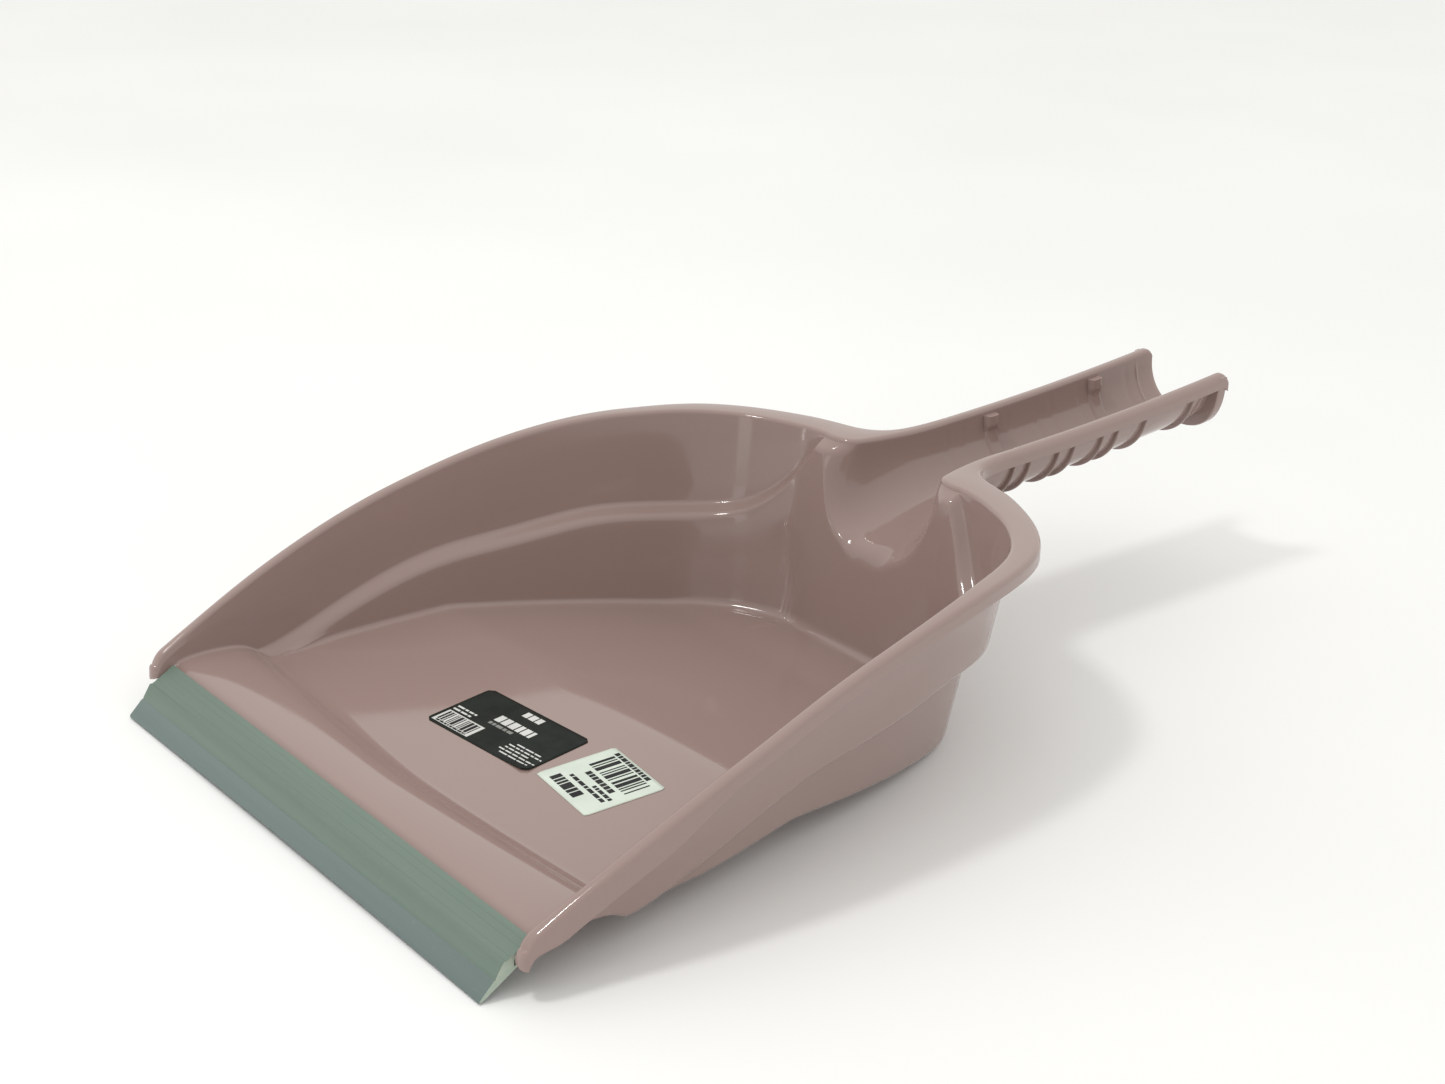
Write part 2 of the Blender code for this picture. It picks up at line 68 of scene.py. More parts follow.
DRAFT = 0.17             # inward lean of every wall, per mm of depth

RIM_FLAT = 74.4          # height of the rim around the back
RIM_FALL = 63.5          # how far it comes down at the lip
RIM_REACH = 205.0        # it is level behind this
RIM_POWER = 1.85
GRIP_RISE = 0.00033      # upward curve of the grip
GRIP_RISE_FROM = 250.0
SKIRT = 5.5              # depth of the turned-down edge of the rim
FRONT_SKIRT = 4.0        # extra depth of it along the front of the sides
FRONT_SKIRT_FROM = 58.0  # which fades out behind this
FRONT_SKIRT_FADE = 30.0
NOSE_SKIRT = 3.4         # less of it at the front ends
NOSE_SKIRT_FADE = 14.0
RIM_ROUND = 1.8          # outer edge of the rim
GRIP_ROUND = 2.8         # outer edge of the grip
INNER_ROUND = 1.7        # inner edge of the rim
NOSE = 4.0               # rounding of the rails' front ends
NOSE_BULGE = 1.7         # they stand out this much, rounded
NOSE_POWER = 2.2
GRIP_END_ROUND = 3.0     # rounding of the grip's far end
ROUND_LIMIT = 0.93       # share of an end rounding that is followed

LEDGE = 6.5              # width of the step in the side wall
LEDGE_START = 2.8        # its width at the front ramp
LEDGE_FROM = 60.0        # it starts to widen here
LEDGE_WIDENS = 110.0     # over this length
LEDGE_WIDEN_POWER = 1.2
LEDGE_AT_MOUTH = 4.0     # its width where it meets the channel
LEDGE_TURN = (10, 4)     # where that change starts and how long it is, in places
LEDGE_FALL = 3.0         # its fall towards the floor
LEDGE_HOLLOW = 1.3       # rounding of its upper corner
LEDGE_EDGE = 1.9         # rounding of its lower edge
COVE = 2.4               # round where the side walls meet the floor
COVE_BACK = 3.6          # round where the rear wall meets it
COVE_TURN = (7, 6)       # where that change starts and how long it is, in places
COVE_FRONT = 2.2         # width of it at the front ramp
LOW_WALL = 8.0           # a wall lower than this leans more
LOW_WALL_LEAN = 2.0      # by this much

FRONT = 12.2             # front edge of the moulding, inside the lip
FOOT = 51.5              # foot of the front ramp, at the sides
FOOT_BOW = 7.0           # the foot comes forward this much in the middle
FOOT_TOP = 9.0           # top of the floor there
FOOT_HALF = 107.0
FOOT_SOFT = 0.2          # width of the soft corner there
BOW_FROM = 15.0          # the ramp bows forward from here
BOW_RISE = 20.0          # and fully after this much more
BOW_END = 60.0           # it fades out from here
BOW_FADE = 40.0
BOW_POWER = 1.4
RAMP_END_SLOPE = 0.7     # slope of the ramp beyond its last point
CREASE = 124.0           # highest line of the floor
CREASE_TOP = 13.3        # top of the floor there
CREASE_SOFT = 0.15
GROUND = 208.0           # the floor lies on the ground behind this
GROUND_SOFT = 0.3

GRIP_HALF = 17.3         # inner half width of the channel in the grip
GRIP_OUTER = 22.8        # outer half width of the grip
GRIP_DEPTH = 21.5        # depth of the channel below the rim
FLARE_FROM = 288.0       # the channel widens in front of this
FLARE_LENGTH = 38.0
FLARE_WIDTH = 7.2        # how much wider each side is at the pan
FLARE_POWER = 1.8
FLARE_LIMIT = 1.06       # the widening goes on this far, in lengths
SECTION = 0.95           # roundness of the channel's section in the grip
SECTION_FLARE = 0.2      # less of it at the pan
MOUTH_DROP = 10.5        # fall of the channel floor at the pan
MOUTH_WALL = 252.5       # rear wall at rim height
MOUTH_SIDE_ROUND = 6.0   # how far the mouth's rounding reaches into the channel
MOUTH_FOOT_ROUND = 9.0   # and at its bottom
MOUTH_EDGE = 3.6         # distance of its edge on the wall
MOUTH_TOP_FLARE = 6.2    # further away at the rim
MOUTH_TOP_SHARE = 0.08   # which dies out over this share of the section
MOUTH_SOFT = 5.0         # and at the bottom, where the edge runs out
MOUTH_SOFT_FROM = 0.72   # from this share on
MOUTH_CRISP = 0.9        # sharpness of the edge
MOUTH_CRISP_FROM = 0.2   # fully sharp from this share on
MOUTH_BLEND = 15.0       # depth over which the step runs out into the mouth
CORNER_PUSH = 0.9        # upright corner low on the rear wall
CORNER_LOW = (31.4, 5.3)       # its course, (x, z)
CORNER_HIGH = (42.9, 32.2)
CORNER_WIDTH = 5.0
CORNER_SOFT = 0.012      # how blunt it is
CORNER_TOP = (24, 16)    # height where it starts to fade, and over how much
CORNER_FROM = (215, 12)  # the same along the pan
HEEL_LINE = 19.6         # low step across the ramp behind the lip
HEEL_STEP = 0.35         # its height
HEEL_WIDTH = 0.8
RIBS = (298.0, 306.5, 322.0, 330.5, 346.5, 355.0, 371.0, 398.5)
RIB_HEIGHT = 1.6
RIB_WIDTH = 1.8
RIB_SQUARE = 3           # roundness of its section
END_BAND = 5.8           # width of the band round the grip's far end
END_BAND_TOP = 2.2       # it stands out this much more at the rim
END_BAND_CORNER = 2.8    # and at its lower corners
END_BAND_SQUARE = 8
END_BAND_INSET = 0.1     # from the grip's end
TABS = (321.0, 379.5)    # locating tabs on both sides of the channel
TAB_LENGTH = 6.4
TAB_HEIGHT = 3.0
TAB_STEM = 1.6           # height of its stem below the head
TAB_TOP = 0.02           # share of the section where it starts
TAB_END = 0.75           # and where it runs out
TAB_HEAD = 0.13          # the head ends here
TAB_HEAD_FADE = 0.09
TAB_SQUARE = 6           # roundness of its section
STEP_LINE = 405.0        # raised line across the channel
STEP_LINE_HEIGHT = 0.35
STEP_LINE_WIDTH = 0.55
SINK_DEPTH = 0.2         # sink marks in the channel opposite the ribs
SINK_WIDTH = 1.3
RELIEF_FROM = 0.15       # both fade in over this share of the section, from the rim

# Half outlines of the rim, from the front end of the rail round to the mouth.
RIM_INNER = ((111.5, 12.2), (113.2, 30), (114.4, 52), (115, 76), (114.4, 100),
             (112.3, 124), (109.9, 148), (106.2, 171), (100.5, 193), (92.5, 215),
             (83, 230), (70, 241), (58, 247), (46.5, 251), (36, 252.5))
RIM_OUTER = ((116.5, 12.2), (117.4, 30), (119, 52), (119.7, 76), (119.2, 100),
             (117.2, 124), (115, 148), (112, 171.5), (107.6, 194), (100.7, 217),
             (91.5, 235.5), (77.8, 248.8), (64, 257.2), (51.5, 262.8), (41, 265.8),
             (32.5, 268.6), (26.6, 273.6), (23.8, 281), (22.8, 291))
# Height of the step's upper corner at each point of RIM_INNER.
LEDGE_HEIGHT = (5, 9, 11.5, 19, 27.6, 33.8, 36, 38.2, 39.8, 38.8,
                38.8, 41, 47, 58.5, 72.7)
# Ramp behind the lip, (y, height of its top).
RAMP = ((11, 9.3), (18, 13.8), (24, 15.3), (30, 15.6), (36, 15.4),
        (42, 14.8), (46.5, 13.5), (50, 11.4), (53.5, 9.1))

# Lip: its cross-section from the heel over the ridge to the tip, (y, z).
LIP_TOP = ((17.8, 15.2), (9.3, 10.35), (8.6, 10.5), (7.9, 9.7), (5.9, 6.5), (5.5, 5.6),
           (4.9, 5.5), (0.4, 0.9))
LIP_PAINTED_SHADE_LINE = 5.4          # in front of this the rubber is painted a little darker and bluer, as painted shade on the blade
LIP_TIP = ((0.0, 0.0), (1.0, 0.0), (6.2, 3.2))
LIP_LEAF = 1.1           # thickness of its lower leaf
LIP_CLEARANCE = 0.25     # between the rubber and the moulding
LIP_BOW = 1.2            # rise of the tip in the middle
LIP_LINES = (0.2, 0.43, 0.8)   # fine raised lines on its top, as shares of the leaf
LIP_LINE_HEIGHT = 0.12
LIP_LINE_HALF = 0.25     # half their width
LIP_ROUND = 0.3          # rounding of all its edges
LIP_BOW_REACH = 6.0      # the rise of the tip fades out behind this
LIP_CUT = 0.35           # depth of the rough cut at its ends
LIP_RAGGED = 0.3         # unevenness of it
LIP_END_FACE = 0.9       # faces that look sideways more than this are cut
LIP_SEED = 4

# Labels on the front part of the floor: centre, size, turn in degrees.
PRODUCT_LABEL = ((-6.5, 88.0), (53.0, 28.6), 5.0)
PRICE_LABEL = ((41.7, 91.4), (32.4, 29.6), -6.5)
PRODUCT_ROUND = 2.2
PRICE_ROUND = 0.6
LABEL_LIFT = 0.04        # over the floor
LABEL_THICKNESS = 0.14
INK_THICKNESS = 0.02
INK_LIFT = 0.002         # over the label
CURL_HEIGHT = 1.1        # of the product label's front right corner
CURL_FROM = 0.72
INK_SEED = 11
# Print as shares of a label from its left and top edge, (left, top, right, bottom); a line
# of words also has their mean length, and the small print only has left and right.
PRODUCT_WORDS = ((0.43, 0.07, 0.60, 0.18, 0.05), (0.34, 0.33, 0.69, 0.47, 0.055),
                 (0.03, 0.53, 0.22, 0.56, 0.05), (0.03, 0.60, 0.22, 0.63, 0.05))
SMALL_PRINT = ((0.70, 0.93), (0.66, 0.97), (0.66, 0.90), (0.64, 0.98), (0.68, 0.95))
SMALL_PRINT_FIRST = (0.64, 0.662)    # top and bottom of its first line
SMALL_PRINT_STEP = 0.06
SMALL_PRINT_WORD = 0.05
PRODUCT_BLOCK = (0.03, 0.67, 0.39, 0.95)
PRODUCT_BARS = (0.05, 0.69, 0.37, 0.9)
PRODUCT_DIGITS = (0.06, 0.91, 0.36, 0.94, 0.03)
PRODUCT_GREY = (0.34, 0.51, 0.57, 0.56, 0.045)
PRICE_TITLE = (0.12, 0.03, 0.77, 0.09, 0.06)
PRICE_BARS = (0.15, 0.11, 0.87, 0.43)
PRICE_WORDS = ((0.27, 0.48, 0.77, 0.555, 0.055), (0.55, 0.59, 0.90, 0.64, 0.06),
               (0.22, 0.67, 0.90, 0.72, 0.07), (0.14, 0.78, 0.67, 0.92, 0.075))
WORD_LENGTHS = (0.5, 1.5)      # in mean lengths, as are the next two
WORD_GAP = 0.22
WORD_LEAST = 0.3
BARS = 34                # width of a barcode in its thinnest bars
BAR_WIDTHS = (1, 1, 2, 3)
BAR_GAPS = (1, 1, 2)

# Sharp edges: bevel of the shell, and angles in degrees from which edges are sharp.
EDGE_WIDTH = 0.35
EDGE_ANGLE = 55
RIB_ANGLE = 50
LIP_ANGLE = 15
INK_ANGLE = 30

# ---- mesh density ----
PLACES = (0, 0.03, 0.07, 0.12, 0.17, 0.22, 0.46, 0.7, 0.96, 1.3, 1.65, 2, 2.4, 2.9, 3.5,
          4.25, 5, 5.75, 6.5, 7.25, 8, 8.6, 9.2, 9.7, 10.2, 10.8, 11.4, 12, 12.7, 13.4, 14)
CORNER = 23              # the place where the floor's side becomes its back
FINER = 4                # columns for each of those places
EDGE_ROWS = 6            # rows in each rounded edge of the rim
SKIRT_ROWS = 6
NOSE_ROWS = 8            # across the rails' front ends
UPPER_ROWS = 6           # between the rim and the step
FILLET_ROWS = 5          # in each rounded corner of the step
LEDGE_ROWS = 3
LOWER_ROWS = 8
COVE_ROWS = 8
MOUTH_STEPS = (0, 0.06, *(i / 13 for i in range(2, 14)))   # over the mouth's rounding
BELOW_MOUTH = 20         # columns of the rear wall under the mouth
FLARE_START = 260.0      # first row of the channel behind the mouth
FLARE_STEP = 2.0
GRIP_START = 290.0       # closer rows behind this
GRIP_STEP = 0.75
LINE_REACH = 2.0         # still closer ones on both sides of the raised line
LINE_STEP = 0.25
END_PLACES = 8           # rows in the grip's rounded end
EVEN_FROM = 255.0        # the channel's points spread out evenly from here on
EVEN_OVER = 35.0
RIB_SHARES = 18
RIB_SECTIONS = 11
TAB_SHARES = 26
TAB_SECTIONS = 13
LIP_SLOT_POINTS = 8
LIP_SECTIONS = 61
LABEL_COLUMNS = 36
LABEL_ROWS = 20
LIP_STEPS = (0, 0.35, 0.65, 1)   # over each rounding of the lip's outline
HALVINGS = 40            # in the search for the foot of a wall
ROUNDS = 30              # in the other searches
NEARBY = 0.01            # small step along an outline, for its direction
MOST_OF_A_RUN = 0.45     # share of a wall's run that a rounding may take
MOST_OF_A_SIDE = 0.4     # and of a side of the lip's outline
WELD = 1000              # points that agree to a thousandth of a millimetre are one
FRAME_STEPS = (0, 0.25, 0.5, 0.75, 0.93, 1)    # between the wall's columns and the mouth


# ---- curves ----
def spline(points, t):
    """Natural cubic spline through points, read at t = 0 .. number - 1."""
    points = np.asarray(points, float)
    last = len(points) - 1
    matrix = np.eye(last + 1)
    right = np.zeros_like(points)
    for i in range(1, last):
        matrix[i, i - 1:i + 2] = (1, 4, 1)
        right[i] = 6 * (points[i + 1] - 2 * points[i] + points[i - 1])
    bend = np.linalg.solve(matrix, right)
    s = np.clip(np.asarray(t, float), 0, last)
    i = np.minimum(s.astype(int), last - 1)
    u = (s - i).reshape(s.shape + (1,) * (points.ndim - 1))
    v = 1 - u
    return (v * points[i] + u * points[i + 1]
            + (v ** 3 - v) * bend[i] / 6 + (u ** 3 - u) * bend[i + 1] / 6)


def ease(value):
    v = np.clip(value, 0, 1)
    return v * v * (3 - 2 * v)


def soft_max(a, b, width):
    return (a + b + np.sqrt((a - b) ** 2 + width ** 2)) / 2


def bezier(a, b, c, f):
    return (1 - f) ** 2 * a + 2 * f * (1 - f) * b + f * f * c


def finer(values, factor):
    """The same run of values with factor - 1 more between each two."""
    values = np.asarray(values, float)
    index = np.arange((len(values) - 1) * factor + 1) / factor
    return np.interp(index, np.arange(len(values)), values)


def drop(over, radius):
    """How far a rounding of this radius has come down, this far into it."""
    over = np.clip(over, 0, radius * ROUND_LIMIT)
    return radius - np.sqrt(radius ** 2 - over ** 2)


def rim_height(y):
    fall = RIM_FALL * np.clip(1 - y / RIM_REACH, 0, 1) ** RIM_POWER
    rise = GRIP_RISE * np.maximum(y - GRIP_RISE_FROM, 0) ** 2
    ends = drop(FRONT + NOSE - y, NOSE) + drop(y - LENGTH + GRIP_END_ROUND, GRIP_END_ROUND)
    return RIM_FLAT - fall + rise - ends


def bow(x, y):
    """How far the front ramp comes forward here, against the sides."""
    fade = (1 - ease((y - BOW_END) / BOW_FADE)) * ease((y - BOW_FROM) / BOW_RISE)
    return FOOT_BOW * (1 - np.clip(np.abs(x) / FOOT_HALF, 0, 1) ** BOW_POWER) * fade


def floor_height(x, y):
    """Top of the floor: ramp, rising front part, falling back part, level end."""
    ramp_y, ramp_z = np.array(RAMP).T
    v = y + bow(x, y)
    ramp = spline(ramp_z, np.interp(v, ramp_y, np.arange(len(ramp_y))))
    ramp = ramp - RAMP_END_SLOPE * np.maximum(v - ramp_y[-1], 0)
    front = FOOT_TOP + (y - FOOT) * (CREASE_TOP - FOOT_TOP) / (CREASE - FOOT)
    back = CREASE_TOP - (y - CREASE) * (CREASE_TOP - WALL) / (GROUND - CREASE)
    floor = -soft_max(-front, -back, CREASE_SOFT)
    ramp = ramp - HEEL_STEP * (1 - ease((y - HEEL_LINE) / HEEL_WIDTH + 0.5))
    return soft_max(ramp, soft_max(floor, WALL, GROUND_SOFT), FOOT_SOFT)


# ---- rim, walls and floor of the pan ----
def sideways(edge):
    """Unit normals of an open outline, towards its left."""
    steps = np.diff(edge, axis=0)
    steps /= np.linalg.norm(steps, axis=1)[:, None]
    along = np.concatenate([steps[:1], steps[:-1] + steps[1:], steps[-1:]])
    along /= np.linalg.norm(along, axis=1)[:, None]
    return np.column_stack([-along[:, 1], along[:, 0]])


def rail(inner, outer, rounding):
    """Skirt, outer rounding, flat top and inner rounding of the rim, by column."""
    inner, outer = np.asarray(inner, float), np.asarray(outer, float)
    height = rim_height((inner[:, 1] + outer[:, 1]) / 2)
    far_end = inner[:, 1] > LENGTH - 2 * GRIP_END_ROUND
    height[far_end] = rim_height(inner[far_end, 1])
    skirt = SKIRT + FRONT_SKIRT * (1 - ease((outer[:, 1] - FRONT_SKIRT_FROM) / FRONT_SKIRT_FADE))
    skirt = skirt - NOSE_SKIRT * (1 - ease((outer[:, 1] - FRONT) / NOSE_SKIRT_FADE))
    angles = np.linspace(0, math.pi / 2, EDGE_ROWS)
    rows = []
    for f in np.arange(SKIRT_ROWS) / SKIRT_ROWS:
        rows.append((outer, 0 * skirt, skirt + (rounding - skirt) * f, sideways(outer)))
    for a in angles:
        rows.append((outer, rounding * (1 - math.cos(a)), rounding * (1 - math.sin(a)),
                     sideways(outer)))
    for a in angles:
        rows.append((inner, INNER_ROUND * (1 - math.sin(a)), INNER_ROUND * (1 - math.cos(a)),
                     -sideways(inner)))
    made = [np.column_stack([edge + into * np.reshape(across, (-1, 1)), height - down])
            for edge, across, down, into in rows]
    return np.stack(made, 1), height


def rounded_path(corners, sizes):
    """Rows along a path with its two inner corners rounded; each corner is by column."""
    a, b, c, d = corners
    runs = [np.linalg.norm(q - p, axis=1)[:, None] + 1e-6 for p, q in ((a, b), (b, c), (c, d))]
    cut_b = np.minimum(sizes[0], MOST_OF_A_RUN * np.minimum(runs[0], runs[1]))
    cut_c = np.minimum(sizes[1], MOST_OF_A_RUN * np.minimum(runs[1], runs[2]))
    b_in, b_out = b + (a - b) / runs[0] * cut_b, b + (c - b) / runs[1] * cut_b
    c_in, c_out = c + (b - c) / runs[1] * cut_c, c + (d - c) / runs[2] * cut_c
    rows = [a + (b_in - a) * f for f in np.linspace(0, 1, UPPER_ROWS + 1)]
    rows += [bezier(b_in, b, b_out, f) for f in np.linspace(0, 1, FILLET_ROWS + 1)[1:]]
    rows += [b_out + (c_in - b_out) * f for f in np.linspace(0, 1, LEDGE_ROWS + 1)[1:]]
    rows += [bezier(c_in, c, c_out, f) for f in np.linspace(0, 1, FILLET_ROWS + 1)[1:]]
    rows += [c_out + (d - c_out) * f for f in np.linspace(0, 1, LOWER_ROWS + 1)[1:]]
    return rows


def bowl():
    """Columns from the front end of the rail to the mouth: rail and wall points."""
    t = finer(PLACES, FINER)
    inner, outer = spline(RIM_INNER, t), spline(RIM_OUTER, t)
    along = spline(RIM_INNER, t + NEARBY) - spline(RIM_INNER, t - NEARBY)
    inward = np.column_stack([-along[:, 1], along[:, 0]])
    inward[-1] = (0, -1)
    inward /= np.linalg.norm(inward, axis=1)[:, None]
    top, rim = rail(inner, outer, np.full(len(t), RIM_ROUND))
    ledge = LEDGE + (LEDGE_AT_MOUTH - LEDGE) * ease((t - LEDGE_TURN[0]) / LEDGE_TURN[1])
    narrow = np.clip(1 - (inner[:, 1] - LEDGE_FROM) / LEDGE_WIDENS, 0, 1) ** LEDGE_WIDEN_POWER
    ledge -= (LEDGE - LEDGE_START) * narrow
    ledge_depth = rim - spline(LEDGE_HEIGHT, t)

    def floor_below(inset):
        place = inner + inward * inset[:, None]
        return floor_height(place[:, 0], place[:, 1])

    low, high = np.zeros(len(t)), rim.copy()
    for _ in range(HALVINGS):
        depth = (low + high) / 2
        step = ledge * np.clip((depth - ledge_depth) / LEDGE_FALL, 0, 1)
        above = rim - depth > floor_below(DRAFT * depth + step)
        low, high = np.where(above, depth, low), np.where(above, high, depth)
    upper = np.minimum(ledge_depth, depth)
    shelf = np.maximum(np.minimum(ledge_depth + LEDGE_FALL, depth), upper)
    below = ease((depth - shelf) / LOW_WALL)
    cove = COVE + (COVE_BACK - COVE) * ease((t - COVE_TURN[0]) / COVE_TURN[1])
    cove = np.minimum(cove, 0.5 * (depth - shelf))
    bottom = depth - cove
    corners = [np.column_stack(p) for p in (
        (DRAFT * INNER_ROUND + 0 * t, INNER_ROUND + 0 * t),
        (DRAFT * upper, upper),
        (DRAFT * shelf + ledge, shelf),
        (DRAFT * bottom + ledge + LOW_WALL_LEAN * (1 - below), bottom))]
    path = rounded_path(corners, (LEDGE_HOLLOW, LEDGE_EDGE))
    wall = []
    for row in path:
        place = inner + inward * row[:, :1]
        height = np.maximum(rim - row[:, 1], floor_below(row[:, 0]))
        wall.append(np.column_stack([place, height]))
    wall[0] = top[:, -1]
    last = path[-1][:, 0]
    corner = last + DRAFT * cove
    foot = corner + np.maximum(cove, COVE_FRONT * (1 - below))
    a = wall[-1]
    b = np.column_stack([inner + inward * corner[:, None], floor_below(corner)])
    c = np.column_stack([inner + inward * foot[:, None], floor_below(foot)])
    wall += [bezier(a, b, c, f) for f in np.linspace(0, 1, COVE_ROWS + 1)[1:]]
    profile = np.array([row[-1] for row in path])
    profile[0, 0] = 0
    return top, np.stack(wall, 1), profile, rim[-1]


def with_corner(points):
    """The rear wall's points with the upright corner pressed into them."""
    x, y, z = np.abs(points[..., 0]), points[..., 1], points[..., 2]
    lean = (CORNER_HIGH[0] - CORNER_LOW[0]) / (CORNER_HIGH[1] - CORNER_LOW[1])
    away = (x - CORNER_LOW[0] - (z - CORNER_LOW[1]) * lean) / CORNER_WIDTH
    fade = 1 - ease((z - CORNER_TOP[0]) / CORNER_TOP[1])
    fade = fade * ease((y - CORNER_FROM[0]) / CORNER_FROM[1])
    push = CORNER_PUSH * np.exp(-np.sqrt(away ** 2 + CORNER_SOFT)) * fade
    return points + push[..., None] * (0, 1, 0)


def floor_patch(side, back):
    """Grid over the floor between its side edge, its back edge and the middle."""
    last = side[-1]
    columns = len(back) - 1
    share = np.clip((side[:, 1] - CREASE) / (last[1] - CREASE), 0, 1)
    stretch = (back[-1, 1] - CREASE) / (last[1] - CREASE)
    v_side = side[:, 1]
    v_middle = np.where(v_side > CREASE, CREASE + (v_side - CREASE) * stretch, v_side)
    grid = np.zeros((len(side), columns + 1, 3))
    for j in range(columns + 1):
        w = j / columns
        straight = (1 - w) * back[0, :2] + w * back[-1, :2]
        shift = back[j, :2] - straight
        x = (1 - w) * side[:, 0] + share * shift[0]
        v = (1 - w) * v_side + w * v_middle + share * shift[1]
        y = v.copy()
        for _ in range(ROUNDS):
            y = v - bow(x, y) + bow(side[:, 0], side[:, 1])
        grid[:, j] = np.column_stack([x, y, floor_height(x, y)])
    grid[:, 0] = side
    grid[-1] = back
    return grid


# ---- mouth and grip ----
def channel(y, share):
    """Point of the channel's section: share 0 is its rim, 1 its lowest line."""
    forward = np.clip((FLARE_FROM - y) / FLARE_LENGTH, 0, FLARE_LIMIT)
    half = GRIP_HALF + FLARE_WIDTH * forward ** FLARE_POWER
    round_power = 2 / (SECTION - SECTION_FLARE * ease(forward))
    ends = drop(y - LENGTH + GRIP_END_ROUND, GRIP_END_ROUND)
    deep = GRIP_DEPTH + MOUTH_DROP * np.clip((FLARE_FROM - y) / FLARE_LENGTH, 0, 1) ** 2 - ends
    start = INNER_ROUND / deep
    angle = share * math.pi / 2
    down = start + (1 - start) * np.sin(angle) ** (2 / round_power)
    x = half * np.maximum(1 - ((down - start) / (1 - start)) ** round_power, 0) ** (1 / round_power)
    return np.array([np.where(share >= 1, 0, x), y, rim_height(y) - deep * down])


def channel_relief(y, share):
    """Raised line across the channel and the sink marks opposite the ribs."""
    line = STEP_LINE_HEIGHT * math.exp(-((y - STEP_LINE) / STEP_LINE_WIDTH) ** 2)
    sinks = sum(SINK_DEPTH * math.exp(-((y - rib) / SINK_WIDTH) ** 2) for rib in RIBS)
    return (line - sinks) * float(ease(share / RELIEF_FROM))


def mouth_share(depth):
    """Share of the channel's section that lies this deep at the mouth."""
    deep = GRIP_DEPTH + MOUTH_DROP
    start = INNER_ROUND / deep
    down = max((depth / deep - start) / (1 - start), 0)
    return math.asin(min(down ** (1 / (SECTION - SECTION_FLARE)), 1)) * 2 / math.pi


def mouth(profile, rim, shares):
    """Rounded edge where the channel opens into the rear wall, by share."""
    def wall_y(z):
        return MOUTH_WALL - np.interp(rim - z, profile[:, 1], profile[:, 0])

    def outline_y(z):
        """The wall with a softer step, so that the opening has an even outline."""
        down = rim - z
        return MOUTH_WALL - DRAFT * down - LEDGE_AT_MOUTH * float(ease(down / MOUTH_BLEND))

    rows = []
    for share in shares:
        y = MOUTH_WALL
        for _ in range(ROUNDS):
            y = outline_y(channel(y, share)[2])
        c = channel(y, share)
        size = MOUTH_SIDE_ROUND + (MOUTH_FOOT_ROUND - MOUTH_SIDE_ROUND) * ease(share)
        soft = float(ease((share - MOUTH_SOFT_FROM) / (1 - MOUTH_SOFT_FROM)))
        edge = MOUTH_EDGE + MOUTH_TOP_FLARE * math.exp(-share / MOUTH_TOP_SHARE)
        edge += MOUTH_SOFT * soft
        e = channel(y + size, share)
        nearby = channel(y, min(share + NEARBY, 1)) - channel(y, max(share - NEARBY, 0))
        outward = np.array([-nearby[2], 0, nearby[0]])
        outward /= np.linalg.norm(outward)
        if share == 0:
            outward = np.array([1.0, 0, 0])
        if share == 1:
            outward = np.array([0, 0, -1.0])
        b = c + outward * edge
        b[1] = wall_y(b[2])
        crisp = MOUTH_CRISP * (1 - soft) * float(ease(share / MOUTH_CRISP_FROM))
        turn = c + ((b + e) / 2 - c) * crisp
        rows.append([bezier(b, turn, e, f) for f in MOUTH_STEPS])
    return np.array(rows), wall_y


# ---- mesh helpers ----
def placed(points):
    """Points in metres and in the frame's own place."""
    return np.asarray(points, float) * MM + (0, TIP_Y, 0)


class Sheet:
    """Quads gathered from grids of points and welded where the points agree."""

    def __init__(self):
        self.points = []
        self.faces = []
        self.index = {}

    def add(self, point):
        key = tuple(int(round(c * WELD)) for c in point)
        if key not in self.index:
            self.index[key] = len(self.points)
            self.points.append(tuple(float(c) for c in point))
        return self.index[key]

    def grid(self, grid):
        ids = [[self.add(p) for p in row] for row in grid]
        for a, b in zip(ids, ids[1:]):
            for i in range(len(a) - 1):
                face = tuple(dict.fromkeys((a[i], a[i + 1], b[i + 1], b[i])))
                if len(face) > 2:
                    self.faces.append(face)

    def mirror(self):
        other = [self.add((-x if abs(x) > 1e-6 else 0.0, y, z)) for x, y, z in list(self.points)]
        self.faces += [tuple(other[i] for i in reversed(f)) for f in list(self.faces)]


def new_object(name, points, faces, materials, smooth_angle=None):
    mesh = bpy.data.meshes.new(name)
    mesh.from_pydata([tuple(p) for p in placed(points)], [], faces)
    mesh.shade_smooth()
    if smooth_angle:
        mesh.set_sharp_from_angle(angle=math.radians(smooth_angle))
    for material in materials:
        mesh.materials.append(material)
    body = bpy.data.objects.new(name, mesh)
    bpy.context.scene.collection.objects.link(body)
    return body


def loft(sections):
    """Points and faces of a closed body through matching closed sections."""
    count = len(sections[0])
    points = [p for s in sections for p in s]
    faces = [tuple(range(count))]
    for j in range(len(sections) - 1):
        for i in range(count):
            k = (i + 1) % count
            faces.append((j * count + i, j * count + k, (j + 1) * count + k, (j + 1) * count + i))
    faces.append(tuple(reversed(range((len(sections) - 1) * count, len(sections) * count))))
    return points, faces


def gathered(parts):
    """Several (points, faces) as one."""
    points, faces = [], []
    for some, their in parts:
        faces += [tuple(i + len(points) for i in f) for f in their]
        points += list(some)
    return points, faces


